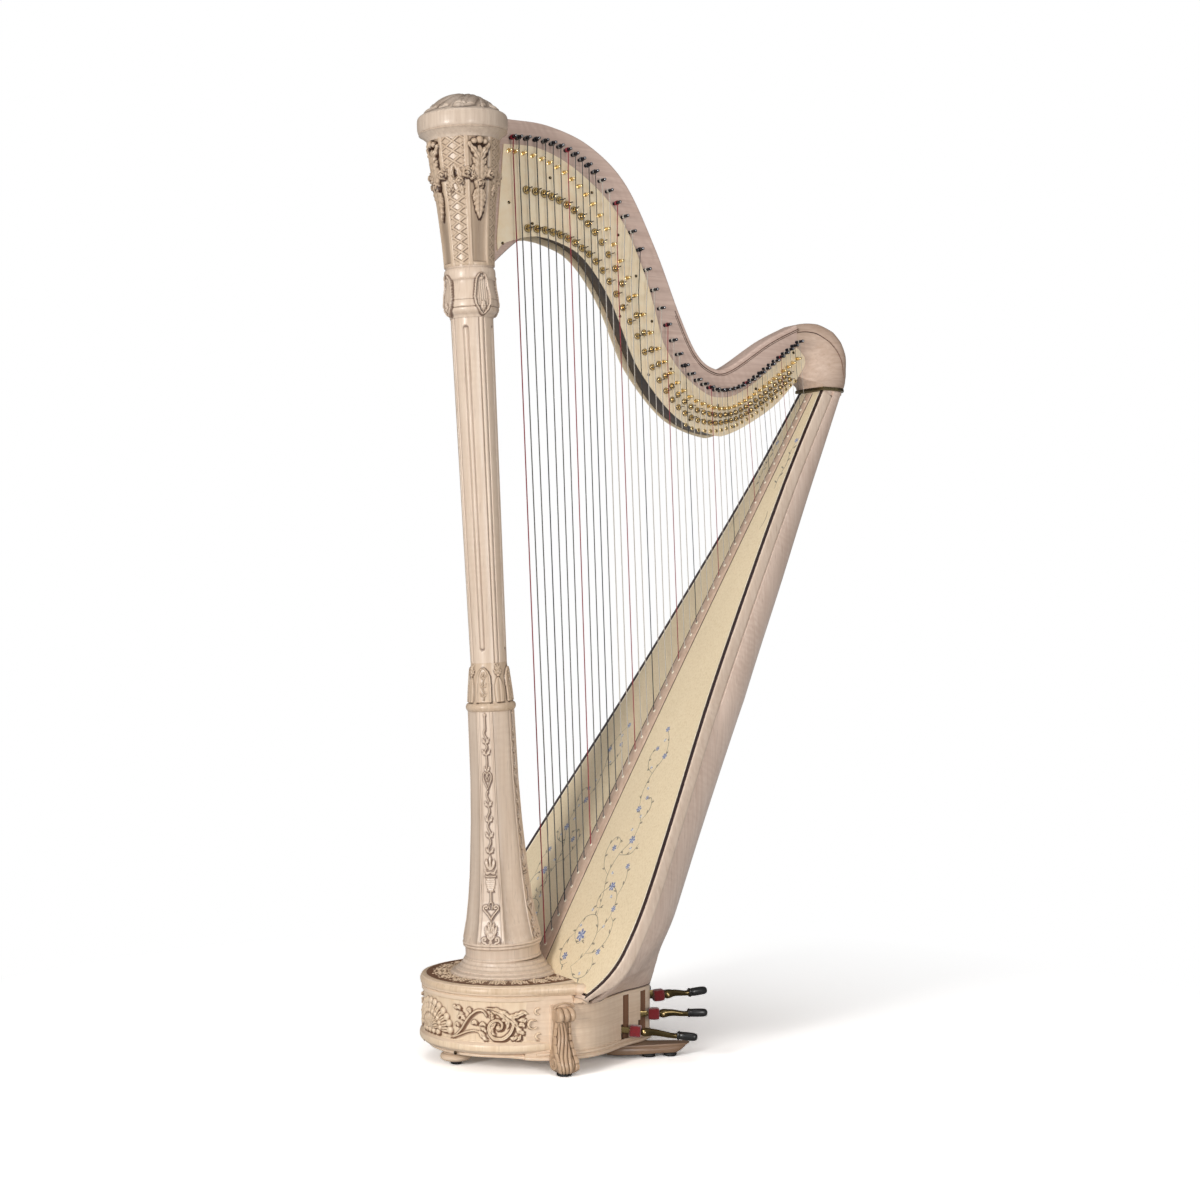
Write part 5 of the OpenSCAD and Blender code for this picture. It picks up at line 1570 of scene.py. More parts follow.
def draw_in_foot(points, share, z):
    """Draws the shell's foot in to the plan of the base, except at its two front edges."""
    centre_x = 30
    x, y = points[..., 0] - centre_x, points[..., 1]
    radius = np.hypot(x, y)
    plan_x, plan_y = BASE_OUTLINE[:, 0] - centre_x, BASE_OUTLINE[:, 1]
    plan_angle = np.arctan2(plan_y, plan_x)
    order = np.argsort(plan_angle)
    limit = np.interp(np.arctan2(np.abs(y), x), plan_angle[order],
                      np.hypot(plan_x, plan_y)[order]) + 0.6
    edge = smooth(0.0, 0.09, share) * smooth(0.0, 0.09, 1 - share)
    pull = (np.clip(radius[1] - limit[1], 0, 40)[None, :]
            * (1 - smooth(133, 300, z)) ** 1.5 * edge[None, :])
    points[..., 0] = centre_x + x * (radius - pull) / radius
    points[..., 1] = y * (radius - pull) / radius


def cut_sound_holes(points, z, holes):
    """Flags of the cells that stay; the cut's edge points are moved onto the ovals."""
    cells = 0.25 * (points[:-1, :-1] + points[1:, :-1] + points[:-1, 1:] + points[1:, 1:])
    keep = np.ones(cells.shape[:2], bool)
    for hole_z, tall, wide in holes:
        inside = ((cells[..., 2] - hole_z) / tall) ** 2 + (cells[..., 1] / wide) ** 2 < 1
        keep &= ~(inside & (cells[..., 0] > shell_front(z)[:-1, :-1] + 40))
    used = np.zeros(points.shape[:2], int)
    for area in (used[:-1, :-1], used[1:, :-1], used[:-1, 1:], used[1:, 1:]):
        area += keep
    edge = (used > 0) & (used < 4)
    edge[[0, -1]] = False
    edge[:, [0, -1]] = False
    for hole_z, tall, wide in holes:
        off = np.sqrt(((points[..., 2] - hole_z) / tall) ** 2 + (points[..., 1] / wide) ** 2)
        near = edge & (np.abs(off - 1) < 0.4)
        off = np.maximum(off, 0.1)
        moved = on_shell(points[..., 1] / off, hole_z + (points[..., 2] - hole_z) / off)
        points[near] = moved[near]
    return keep


def build_shell():
    """Rounded back of the soundbox with five oval holes."""
    rows = np.concatenate([np.linspace(132.3, 320, 60), np.linspace(324, 1342.8, 230)])
    share = np.linspace(0, 1, 150)
    z, angle = np.meshgrid(rows, np.pi * share, indexing="ij")
    y = shell_half(z) * signed_power(np.cos(angle), SIDE_POWER)
    points = xyz(shell_x(z, np.sin(angle)), y, z)
    draw_in_foot(points, share, z)
    holes = [(hole_z, tall, wide * float(shell_half(hole_z)))
             for hole_z, tall, wide in SOUND_HOLES]
    keep = cut_sound_holes(points, z, holes)
    faces = grid_faces(len(rows), len(share), wrap=False)[keep.reshape(-1)]
    shell = Piece().add(points, [faces]).build(
        "soundbox_shell_bent", BODY, "maple_body", "soundbox_shell", angle=45)
    mesh = shell.data
    work = bmesh.new()
    work.from_mesh(mesh)
    loose = [vertex for vertex in work.verts if not vertex.link_faces]
    bmesh.ops.delete(work, geom=loose, context="VERTS")
    work.to_mesh(mesh)
    work.free()
    # the normals look outwards, so that the thickness goes inwards
    if mesh.polygons[len(mesh.polygons) // 2].normal.x < 0:
        mesh.flip_normals()
    thickness = shell.modifiers.new("thickness", "SOLIDIFY")
    thickness.thickness = 0.006
    thickness.offset = -1.0
    thickness.use_even_offset = False

    inlay = Piece()
    turn = np.linspace(0, 2 * np.pi, 73)
    for hole_z, tall, wide in holes:
        line = on_shell((wide + 7) * np.cos(turn), hole_z + (tall + 7) * np.sin(turn))
        inlay.tube(line + [0.2, 0, 0], 0.9, 6)
    inlay.build("soundhole_inlay", BINDING, "binding")
    Piece().tube(points[1, 3:-3], 0.8, 8).build("box_seam_bead", BINDING, "binding")

    # block that closes the head of the shell
    x, y = points[-1, :, 0], points[-1, :, 1]
    front = xyz(x[0], np.linspace(y[-1], y[0], 22)[1:-1], 1342.6)
    centre = np.array([x.mean(), 0, 1342.6])
    top = centre + (np.concatenate([xyz(x, y, 1342.6), front]) - centre) * 0.985
    low = xyz(top[:, 0], top[:, 1], 1337.0)
    Piece().loft([low, top]).build("soundbox_head_block", BODY, "maple_body")


# ---------------------------------------------------------------- painting on the board
# Points are (length along the board, distance from its middle), on one side of it.
STEMS = [
    [(-22, 120), (10, 150), (52, 158), (86, 132), (78, 96), (44, 84), (24, 108), (42, 128)],
    [(52, 158), (92, 176), (134, 168), (150, 138), (130, 112), (104, 116), (104, 136)],
    [(86, 132), (130, 120), (170, 104), (214, 110), (250, 132), (290, 130), (314, 106)],
    [(170, 104), (188, 76), (222, 62), (248, 74), (244, 94), (226, 96)],
    [(314, 106), (350, 92), (392, 94), (432, 108), (466, 98), (490, 76)],
    [(290, 130), (318, 142), (340, 132), (340, 116)],
    [(392, 94), (404, 70), (430, 60), (446, 72)],
    [(10, 150), (20, 182), (48, 200), (80, 196), (92, 180)],
    [(44, 84), (20, 66), (-6, 66), (-24, 84), (-16, 102)],
    [(-22, 120), (-40, 146), (-34, 176), (-12, 190), (8, 180)],
    [(134, 168), (170, 172), (196, 158)],
    [(214, 110), (222, 148), (246, 160)]]
# along, across, size
FLOWERS = ((42, 108, 19), (150, 138, 14), (108, 176, 10), (250, 132, 13), (226, 84, 10),
           (314, 106, 11), (432, 108, 10), (490, 76, 9), (-6, 84, 12), (20, 190, 10),
           (196, 158, 9), (446, 72, 8), (340, 116, 7))
BUDS = ((70, 170), (96, 108), (-30, 160), (130, 150), (176, 118), (270, 116), (360, 104),
        (404, 82), (466, 84), (60, 92), (232, 140), (300, 124))


def on_board(points, lift):
    along, across = points[..., 0], points[..., 1]
    return board(along, across, belly(along, across) + lift)


def ribbon(piece, points, widths):
    """Thin raised brush stroke; widths are half-widths spread along it."""
    points = curve(points, 7)
    width = np.interp(np.linspace(0, 1, len(points)), np.linspace(0, 1, len(widths)), widths)
    ahead = unit(np.gradient(points, axis=0))
    side = np.stack([-ahead[:, 1], ahead[:, 0]], -1) * width[:, None]
    piece.strip([on_board(points + side, 0.06), on_board(points, 0.34),
                 on_board(points - side, 0.06)])


def blade(piece, root, degrees, length, width, curl):
    ahead = polar(1, math.radians(degrees))
    side = np.array([-ahead[1], ahead[0]])
    part = np.linspace(0, 1, 7)
    points = (np.array(root) + part[:, None] * length * ahead
              + (np.sin(part * math.pi / 2) ** 2)[:, None] * length * curl * side)
    ribbon(piece, points, width * np.sin(np.pi * (0.06 + 0.9 * part)) ** 0.8)


def flower(outer, inner, centre, size, turn):
    for k in range(6):
        blade(outer, centre, turn + k * 60, size, size * 0.30, 0.12)
    for k in range(6):
        degrees = turn + 30 + k * 60
        root = centre + polar(0.15 * size, math.radians(degrees))
        blade(inner, root, degrees, size * 0.62, size * 0.16, 0.0)


def stem_leaves(vine, stem, side):
    """Two leaves at every fifth point of a stem, turned to alternate sides."""
    points = curve(stem, 6)
    for k in range(4, len(points) - 2, 5):
        along, across = points[k]
        if not 22 < abs(across) < float(half_width(along)) - 26:
            continue
        ahead = points[k + 1] - points[k - 1]
        degrees = math.degrees(math.atan2(ahead[1], ahead[0]))
        way = 1 if (k // 5) % 2 else -1
        for spread, length, width in ((52, 11 - 0.01 * along, 1.36), (24, 8, 0.88)):
            blade(vine, (along, side * across), side * (degrees + way * spread), length,
                  width, 0.25 * side)


def build_painting():
    vine, blue, pale = Piece(), Piece(), Piece()
    for side in BOTH:
        flip = [1, side]
        for stem in STEMS:
            ribbon(vine, np.array(stem) * flip, [0.3, 0.75, 0.65, 0.3])
        for stem in STEMS:
            stem_leaves(vine, stem, side)
        for along, across, size in FLOWERS:
            flower(blue, pale, (along, side * across), size * 0.72, along * 3.0)
        for along, across in BUDS:
            for k in range(5):
                blade(blue if k % 2 else pale, (along, side * across), k * 72 + along, 4.2,
                      1.1, 0.2)
        # sprays near the head of the board
        stem = [(1060, 40), (1090, 36), (1120, 40), (1150, 34), (1176, 36)]
        ribbon(vine, np.array(stem) * flip, [0.4, 0.8, 0.4])
        for k, along in enumerate((1075, 1092, 1110, 1128, 1146, 1160)):
            blade(vine, (along, side * 37), side * (50 if k % 2 else -50), 10, 1.8, 0.2)
        flower(blue, pale, (1180, side * 35), 6, 10)
        ribbon(vine, np.array([(960, 56), (985, 60), (1005, 54)]) * flip, [0.3, 0.7, 0.3])
    vine.build("board_vines", VINE_PAINT, "spruce", angle=60)
    blue.build("board_flowers", BLUE_PAINT, "spruce", angle=60)
    pale.build("board_petals", PALE_PAINT, "spruce", angle=60)


# ---------------------------------------------------------------- neck and shoulder
# (x, z) of the neck's upper and lower edges, from the column to the shoulder
NECK_TOP = [(-60, 1846), (16, 1848), (100, 1845), (193, 1816), (278, 1748), (350, 1622),
            (408, 1492), (450, 1414), (490, 1384), (532, 1389), (629, 1451), (704, 1488)]
NECK_LOW = [(-62, 1512), (-20, 1564), (60, 1627), (130, 1622), (178, 1599), (213, 1563),
            (249, 1508), (290, 1426), (339, 1341), (386, 1290), (440, 1260), (493, 1247),
            (530, 1250), (565, 1268), (638, 1313), (704, 1378)]
# place along NECK_TOP, place along NECK_LOW that lies across from it
NECK_PAIRS = [(0, 0), (1, 1), (2, 2), (3, 3), (4, 4.5), (5, 6.3), (6, 7.8), (7, 9), (8, 10.6),
              (9, 12.2), (10, 13.9), (11, 15)]
NECK_NEAR, NECK_FAR = 14.0, 67.0  # y of the neck's faces, towards and away from the strings


def corner(depth, y, depth_radius, y_radius, degrees):
    """Rounded corner of the neck's section as (depth, y) rows; signed radii give its way."""
    angle = np.radians(degrees)
    return np.stack([depth + depth_radius * (1 - np.sin(angle)),
                     y + y_radius * (1 - np.cos(angle))], -1)


def build_neck():
    near, far = NECK_NEAR + 0.05, NECK_FAR - 0.05
    top, low = 6.5, 3.5  # corner radii
    top_turn, low_turn = np.linspace(0, 90, 7), np.linspace(0, 90, 5)
    rings = []
    for place in np.linspace(0.02, 11, 230):
        start = curve_at(NECK_TOP, place)
        across = curve_at(NECK_LOW, lookup(place, NECK_PAIRS)) - start
        deep = np.linalg.norm(across)
        section = np.concatenate([
            corner(0, near, top, top, top_turn),
            [(0.0, near + 0.5 * (far - near))],
            corner(0, far, top, -top, top_turn[::-1]),
            [(deep * 0.35, far), (deep * 0.7, far)],
            corner(deep, far, -low, -low, low_turn),
            corner(deep, near, -low, low, low_turn[::-1]),
            [(deep * 0.7, near), (deep * 0.35, near)]])
        x, z = (start + across / deep * section[:, :1]).T
        rings.append(xyz(x, section[:, 1], z))
    Piece().loft(rings).build("neck_shaped", NECK, "maple_neck", "neck")


def build_neck_mouldings():
    """Two fine lines below the top edge on both faces, at the shoulder end."""
    edge = curve(NECK_TOP, 12)
    passed = np.concatenate([[0], np.cumsum(np.hypot(*np.diff(edge, axis=0).T))])
    even = np.linspace(0, passed[-1], 240)
    edge = np.stack([np.interp(even, passed, edge[:, k]) for k in (0, 1)], -1)
    ahead = unit(np.gradient(edge, axis=0))
    down = np.stack([ahead[:, 1], -ahead[:, 0]], -1)
    piece = Piece()
    for y in (NECK_NEAR - 0.15, NECK_FAR + 0.15):
        for depth, radius in ((9.5, 1.0), (13.0, 0.6)):
            line = edge + depth * down
            x, z = line[line[:, 0] > 395].T
            # the lines are painted dark, as shade in grooves
            piece.tube(xyz(x, y, z), radius, 8, 0.8)
    piece.build("neck_mouldings", NECK, "maple_neck")


def build_shoulder():
    """Block that turns from the neck down to the soundbox, with two ridge lines."""
    steps, outer_count, inner_count = 46, 60, 24
    arc = np.linspace(0, math.pi, outer_count)
    flat = np.linspace(1, -1, inner_count + 2)[1:-1]
    rings = []
    for degrees in np.linspace(90, 0, steps):
        part = (90 - degrees) / 90
        inner = lookup(part, [(0, 33), (0.25, 31.5), (0.5, 29.5), (0.75, 28), (1, 27.5)])
        outer = lookup(part, [(0, 143), (0.12, 151.5), (0.25, 161), (0.4, 165), (0.5, 160),
                              (0.62, 147), (0.75, 128), (0.88, 113), (1.0, 103.5)])
        ease = smooth(0.10, 1.0, part)
        middle, half = 40.5 * (1 - ease), 26.5 + (49 - 26.5) * ease
        power = 2 / (9.0 - 6.4 * smooth(0.0, 0.8, part))
        y = np.concatenate([middle - half * signed_power(np.cos(arc), power),
                            middle + half * flat])
        radius = np.concatenate([inner + (outer - inner) * np.abs(np.sin(arc)) ** power,
                                 inner - 2.2 * (1 - flat ** 2) * ease])
        x, z = polar(radius, math.radians(degrees)).T
        rings.append(xyz(700.0 + x + 4.2 * (1 - smooth(0, 0.5, part)), y,
                         1345.0 + z + 6.3 * smooth(0.4, 1.0, part)))
    # painted shade over the outer curve of the shoulder, strongest at its middle
    painted_side_shade = np.concatenate([0.34 * np.sin(arc) ** 1.6, np.zeros(inner_count)])
    Piece().loft(rings, np.tile(painted_side_shade, steps)).build(
        "shoulder_carved", SHOULDER, "maple_neck", "shoulder_block", angle=45)

    ridges = Piece()
    for start, drift in ((9, 6), (50, -6)):  # section point the ridge starts at, its drift
        line = []
        for k in range(int(steps * 0.86)):
            place = start + drift * smooth(0.3, 0.9, k / (steps - 1))
            j = int(place)
            share = place - j
            line.append(rings[k][j] * (1 - share) + rings[k][j + 1] * share)
        radius = np.interp(np.arange(len(line)), [0, len(line) * 0.8, len(line) - 1],
                           [1.0, 1.3, 0.4])
        # the ridge lines are painted dark, as shade
        ridges.tube(line, radius, 8, 0.8)
    ridges.build("shoulder_ridge", NECK, "maple_neck")


def head_ring(z, grow, front_x):
    """Outline of the soundbox's head: round behind, flat towards the strings."""
    half = 49 + grow
    arc = polar(1, np.radians(np.linspace(-80, 80, 60))) * (48 + grow, half) + (756, 0)
    front = [(front_x, y) for y in np.linspace(half, -half, 22)]
    return xyz(*np.concatenate([front[-1:], arc, front[:-1]]).T, z)


def build_joint():
    """Bronze ring between shoulder and soundbox, and the soundbox's collar under it."""
    Piece().loft([head_ring(z, grow, 727 - grow) for z, grow in (
        (1343.6, 0.2), (1344.0, 0.9), (1345, 1.4), (1347.2, 1.5), (1349.2, 1.3),
        (1350.3, 0.8), (1350.9, 0.2))]).build(
        "joint_ring_rounded", RING_BRONZE, "ring_bronze", "joint_ring", angle=45)
    Piece().loft([head_ring(z, grow, 733 - (1343.8 - z) * 0.5) for z, grow in (
        (1334, -6.5), (1340, -5.0), (1343.8, -4.0))]).build(
        "soundbox_collar", BODY, "maple_body", angle=45)


# ---------------------------------------------------------------- action
# (x, z) of the screws through both plates
PLATE_SCREWS = [
    (-6, 1600), (8, 1682), (100, 1740), (196, 1720), (258, 1640), (300, 1560), (338, 1470),
    (384, 1375), (500, 1305), (596, 1345), (693, 1427), (60, 1645), (180, 1600), (262, 1475),
    (330, 1360), (430, 1272), (540, 1262), (640, 1326)]
MOVING_DISCS = {2: "e1", 3: "f1", 4: "g1", 5: "a1", 6: "b1", 7: "c2", 8: "d2"}  # by string
UPPER_TURN = [54, 33, 54, 54, 54, 54, 75]  # rest of the upper discs by note, degrees


def screw_slot(piece, x, y, z, radius, angle):
    """Thin bar across a screw head."""
    dx, dz = math.cos(angle) * radius * 0.8, math.sin(angle) * radius * 0.8
    piece.tube([(x - dx, y, z - dz), (x, y, z), (x + dx, y, z + dz)], radius * 0.14, 6)


def fork_disc(brass, dark, i, z, degrees, back):
    """Disc beside string i with two prongs; back is the y its shaft reaches."""
    x = string_x(i, z)
    radius = max(4.6, 8 - 0.105 * i)
    turn = math.radians(degrees)
    brass.turned(x, z, [(0.3, 9.25), (radius - 0.6, 9.25), (radius, 8.8), (radius, 6.9),
                        (radius - 0.5, 6.3), (radius - 1.2, 6.2), (radius - 1.5, 6.55),
                        (2.9, 6.6), (2.6, 5.7), (2.2, 5.1), (1.4, 4.8), (0.3, 4.75)], 28)
    brass.turned(x, z, [(0.3, 9.1), (2.2, 9.15), (2.2, back), (0.3, back)], 16)
    for side in BOTH:
        dx, dz = side * polar(radius - 1.6, turn)
        thick = 0.165 * radius
        prong = [(0.1, -5.35), (thick * 0.6, -5.2), (thick, -4.6), (thick, -1.2),
                 (thick * 0.78, -0.4), (thick * 0.78, 1.6), (thick, 2.4), (thick * 1.25, 6.0),
                 (thick * 1.25, 6.4), (0.1, 6.5)]
        dark.turned(x + dx, z + dz, prong, 12)
    # dark ring behind the disc: painted shadow round it on the plate
    dark.turned(x, z, [(0.3, 8.9), (radius + 0.7, 8.9), (radius + 0.85, 9.3),
                       (radius + 0.7, 9.7), (0.3, 9.7)], 24)
    dark.turned(x, z, [(0.1, 4.6), (1.3, 4.55), (1.4, 5.0), (0.1, 5.1)], 14)
    screw_slot(dark, x, 4.72, z, 1.9, turn + 0.6)


def build_discs():
    """Two discs on each of strings 2 to 44; seven upper ones turn on bodies of their own."""
    brass, dark = Piece(), Piece()
    fixed_back, moving_back = 11.35, 13.75
    for i in range(2, 45):
        note = i % 7
        upright = 90 + string_lean(i)
        fork_disc(brass, dark, i, lower_disc_z(i), upright - (35 if note == 1 else 75),
                  fixed_back)
        z = upper_disc_z(i)
        if i not in MOVING_DISCS:
            fork_disc(brass, dark, i, z, upright - max(38, UPPER_TURN[note]), fixed_back)
            continue
        name = MOVING_DISCS[i]
        body = f"disc_{name}_body"
        # slot gathers the disc's dark parts and its painted shadow ring
        disc, slot = Piece(), Piece()
        fork_disc(disc, slot, i, z, upright - UPPER_TURN[note], moving_back)
        disc.build("fork_disc_" + name, BRASS, "brass", "disc_" + name, body=body)
        slot.build("fork_disc_dark_parts_and_shadow_" + name, DARK_PARTS_AND_SHADOW, "steel", body=body)
    brass.build("fork_discs", BRASS, "brass", "fixed_discs")
    dark.build("fork_disc_dark_parts_and_shadow", DARK_PARTS_AND_SHADOW, "steel")


def build_nuts():
    piece = Piece()
    profile = [(0.2, -4.2), (2.0, -4.1), (2.9, -3.4), (3.0, -2.4), (2.45, -1.2), (2.35, 0),
               (2.45, 1.4), (3.0, 2.6), (3.2, 4.4), (2.6, 5.6), (2.6, 9.4), (4.4, 9.9),
               (4.5, 11.0), (3.9, 11.35), (0.2, 11.4)]
    for i in range(STRINGS):
        x, z = nut(i)
        piece.turned(x - 2.55 - 1.35 * string_radius(i), z - 1, profile)
    piece.build("bridge_nuts_grooved", BRASS, "brass", "bridge_nuts")


def build_pins():
    """Tuning pins with a square head, a bright tip and a few turns of string."""
    pins, tips = Piece(), Piece()
    red, black, clear = Piece(), Piece(), Piece()
    shank = [(0.2, -12.6), (2.0, -12.5), (3.0, -11.6), (3.25, -10.2), (3.1, -8), (3.0, -3),
             (3.0, 3), (3.15, 9), (3.2, 13), (3.5, 13.6), (3.6, 14.3), (3.2, 14.6),
             (3.2, 70.0), (4.6, 70.4), (4.6, 71.6), (3.4, 72.4), (3.0, 74), (0.2, 74)]
    square = [(0.2, 73.6), (3.3, 73.7), (3.5, 75), (3.0, 86.5), (2.4, 88.6), (0.2, 88.8)]
    tip = [(0.2, -12.95), (1.5, -12.9), (2.1, -12.6), (2.3, -12.2), (0.2, -12.1)]
    turns = 3.2
    angle = np.linspace(0, turns * 2 * np.pi, 46)
    for i in range(STRINGS):
        x, z = pin(i)
        pins.turned(x, z, shank)
        pins.turned(x, z, square, 4, start=0.4 + i * 0.9)
        tips.turned(x, z, tip, 16)
        thick = string_radius(i)
        across, up = polar(3.05 + thick * 0.8, angle - 1.2).T
        coil = {0: red, 3: black}.get(i % 7, clear)
        coil.tube(xyz(x + across, angle / angle[-1] * turns * thick * 2.05, z + up),
                  thick * 0.85, 6)
    pins.build("tuning_pins_blued", BLUED_STEEL, "blued_steel", "tuning_pins")
    tips.build("tuning_pin_tips", STEEL, "steel")
    red.build("string_coils_red", RED_STRING, "string_red")
    black.build("string_coils_black", BLACK_STRING, "string_black")
    clear.build("string_coils_plain", PLAIN_STRING, "string_clear")


def build_plate_screws():
    heads, slots = Piece(), Piece()
    near = [(0.2, 11.5), (3.0, 11.45), (3.1, 11.1), (2.7, 10.3), (1.6, 9.8), (0.2, 9.65)]
    far = [(0.2, 69.5), (3.0, 69.6), (3.1, 69.95), (2.7, 70.8), (1.6, 71.3), (0.2, 71.4)]
    for k, (x, z) in enumerate(PLATE_SCREWS):
        heads.turned(x, z, near)
        heads.turned(x, z, far)
        screw_slot(slots, x, 9.72, z, 2.4, k * 0.7)
        screw_slot(slots, x, 71.34, z, 2.4, k * 0.9)
    heads.build("plate_screw_heads", DARK_SCREW, "steel", "plate_screws")
    slots.build("plate_screw_slots", SATIN_BRASS, "brass")


def build_bosses():
    """Row of small bosses under the lower discs of strings 24 to 45."""
    bosses, eyes = Piece(), Piece()
    for i in range(24, 46):
        z = lower_disc_z(i) - max(12.0, 0.05 * string_length(i))
        x = string_x(i, z) + 1.5
        bosses.turned(x, z, [(0.2, 11.4), (4.0, 11.38), (4.1, 10.9), (3.5, 10.3), (2.5, 10.0),
                             (1.4, 10.25), (1.2, 10.8), (0.2, 10.85)], 18)
        # dark discs in the bosses stand for their holes: painted shade
        eyes.turned(x, z, [(0.1, 11.3), (1.35, 11.2), (1.3, 10.5), (0.1, 10.45)], 12)
    bosses.build("adjusting_bosses", SATIN_BRASS, "brass")
    eyes.build("adjusting_boss_eyes", DARK_SCREW, "steel")


# ---------------------------------------------------------------- pedals
# name, (x, y) of its slot in the box wall, direction of the outer arm in degrees, its length,
# start of the felt along it, tilt at rest in degrees, drop of the outer arm
PEDALS = [("d", (191, -131), -40, 130, 2.5, 5.2, 0.0), ("c", (243, -110), -26, 116, 3.5, 0, 0.0),
          ("b", (280, -75), -12, 110, 1, -5.2, 7.0), ("e", (291, 30), 6, 106, 1, 0, 0.0),
          ("f", (278, 80), 17, 110, 1, 0, 0.0), ("g", (236, 114), 29, 118, 3.5, 0, 0.0),
          ("a", (186, 133), 41, 128, 2, 0, 0.0)]
PIVOT_X, PIVOT_Z = -60.0, 80.0
UP = np.array([0, 0, 1.0])


def build_arm(name, y, start, at, place, length, felt, drop):
    """Hub and inner lever, then the outer arm: a bulb past the felt and a waisted bar."""
    piece = Piece()
    cos, sin = polar(1, circle(32)).T
    hub = place(np.array([xyz(PIVOT_X + radius * cos, y + off, radius * sin) for radius, off in (
        (4.15, -3), (8.4, -3), (9, -2.4), (9, 2.4), (8.4, 3), (4.15, 3))]))
    piece.wall(hub)
    piece.wall(hub[[5, 0]])
    piece.sweep([(-53, y, 0), (-20, y, 0), (12, y, 0)], [2.5] * 3, [6.0] * 3, place, 16, 6)
    bend = np.array([12.0, y, 0])
    slanted = [bend + (start - bend) * part for part in (-0.01, 0.3, 0.7, 1.0)]
    piece.sweep(slanted, [2.6] * 4, [6.0] * 4, place, 16, 6)
    far = np.linspace(0, 1, 40) * (length - 5)
    rise = (1.2 * np.sin(np.pi * 2 * clamp((far - 34) / (length - 60)))
            - drop * smooth(-8, 14, far) - 0.6 * drop * smooth(14, length, far))
    stations = np.array([  # distance out, half-width, half-height
        (0, 4.2, 4.2), (4, 4.4, 4.4), (felt + 20, 4.4, 4.4), (felt + 24, 6.4, 7.2),
        (felt + 29, 7.6, 8.6), (felt + 35, 7.2, 8.2), (felt + 41, 6.0, 7.0),
        (felt + 50, 5.2, 6.4), (length - 42, 5.2, 5.0), (length - 32, 6.2, 5.4),
        (length - 28, 5.4, 5.0), (length - 5, 3.6, 3.4)])
    piece.sweep(at(far, rise), lookup(far, stations[:, :2]), lookup(far, stations[:, ::2]),
                place, 22, 2.5)
    piece.build(f"pedal_arm_{name}", BRONZE, "bronze", f"pedal_{name}",
                body=f"pedal_{name}_body", angle=45)


def build_arm_screws(name, centre, ahead, side, place):
    """Small bright screw on either side of the bulb."""
    piece = Piece()
    for way in BOTH:
        normal = side * way
        piece.loft(place(facing_rings(centre + normal * 7.0, normal, ahead, UP,
                                      ((2.6, 0), (2.6, 0.9), (2.0, 1.5), (0.4, 1.7)), 16)))
    piece.build(f"pedal_screw_{name}", SATIN_BRASS, "brass", body=f"pedal_{name}_body")


def build_shoe(name, at, place, length, drop):
    """Rubber shoe: stepped lip, straight body, rounded end."""
    far, wide, high = np.array([  # distance from the arm's end, half-width, half-height
        (-35, 4.2, 4.4), (-34.2, 6.6, 7.2), (-32.5, 7.6, 8.6), (-30.5, 7.8, 8.8),
        (-29.6, 7.2, 7.8), (-28.6, 8.0, 7.4), (-26, 8.8, 7.6), (-22, 9.2, 7.8),
        (-14, 9.4, 7.9), (-6, 9.2, 7.8), (0, 8.6, 7.3), (3, 7.4, 6.2), (4.8, 5.2, 4.2),
        (5.6, 1.2, 1.0)]).T
    piece = Piece().sweep(at(far + length, 0.4 - 1.6 * drop), wide, high, place, 32, 2.7)
    piece.build(f"pedal_shoe_{name}", SHOE_RUBBER, "rubber", f"pads_{name}",
                body=f"pedal_{name}_body")


def build_felt(name, at, side, place, start, drop):
    """Thick felt sleeve round the arm, faintly uneven."""
    stations = [(0.1, 0.72), (0.5, 0.90), (1.5, 0.98), (4.5, 1.0), (8.5, 1.02), (13, 1.03),
                (17.5, 1.0), (20.4, 0.98), (21.5, 0.90), (21.9, 0.72)]  # distance, fullness
    angle = circle(60)
    wide, high = signed_power(polar(1, angle), 2 / 5.0).T
    rings = []
    for k, (far, full) in enumerate(stations):
        size = full * (1 + 0.02 * np.sin(angle * 9 + k * 1.3))
        rings.append(at(far + start, -0.85 * drop) + (wide * 10.0 * size)[:, None] * side
                     + (high * 11.2 * size)[:, None] * UP)
    Piece().loft(place(np.array(rings))).build(
        f"pedal_felt_{name}", FELT, "pads", body=f"pedal_{name}_body", angle=60)


def build_pedal(k, name, slot, degrees, length, felt, tilt, drop):
    y = (k - 3) * 7.0
    inner = math.atan2(slot[1] - y, slot[0] - 12)
    start = np.array([*(np.array(slot) + polar(7, inner)), 0.0])
    ahead = np.array([*polar(1, math.radians(degrees)), 0])
    side = np.cross(UP, ahead)

    def at(distance, rise):
        """Points out along the outer arm, raised by rise."""
        return start + np.multiply.outer(distance, ahead) + np.multiply.outer(rise, UP)

    def place(points):
        """Turns points, with z = 0 at the pivot's height, to the pedal's rest position."""
        cos, sin = math.cos(math.radians(tilt)), math.sin(math.radians(tilt))
        x, y, z = np.moveaxis(points, -1, 0)
        x = x - PIVOT_X
        return xyz(PIVOT_X + x * cos + z * sin, y, PIVOT_Z - x * sin + z * cos)

    build_arm(name, y, start, at, place, length, felt, drop)
    build_arm_screws(name, at(felt + 30, -1.1 * drop), ahead, side, place)
    build_shoe(name, at, place, length, drop)
    build_felt(name, at, side, place, felt, drop)


# ---------------------------------------------------------------- CAD pieces that stay
def finish_cad_pieces():
    finishes = {"base_shell": BASE, "action_plate_left": PLATE, "action_plate_right": PLATE,
                "soundbox_braces": BEECH, "pivot_axle": STEEL, "strings_red": RED_STRING,
                "strings_black": BLACK_STRING, "strings_plain": PLAIN_STRING}
    finishes.update({"rod_" + name: STEEL for name in "dcbefga"})
    for name, material in finishes.items():
        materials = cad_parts[name].data.materials
        materials.clear()
        materials.append(material)


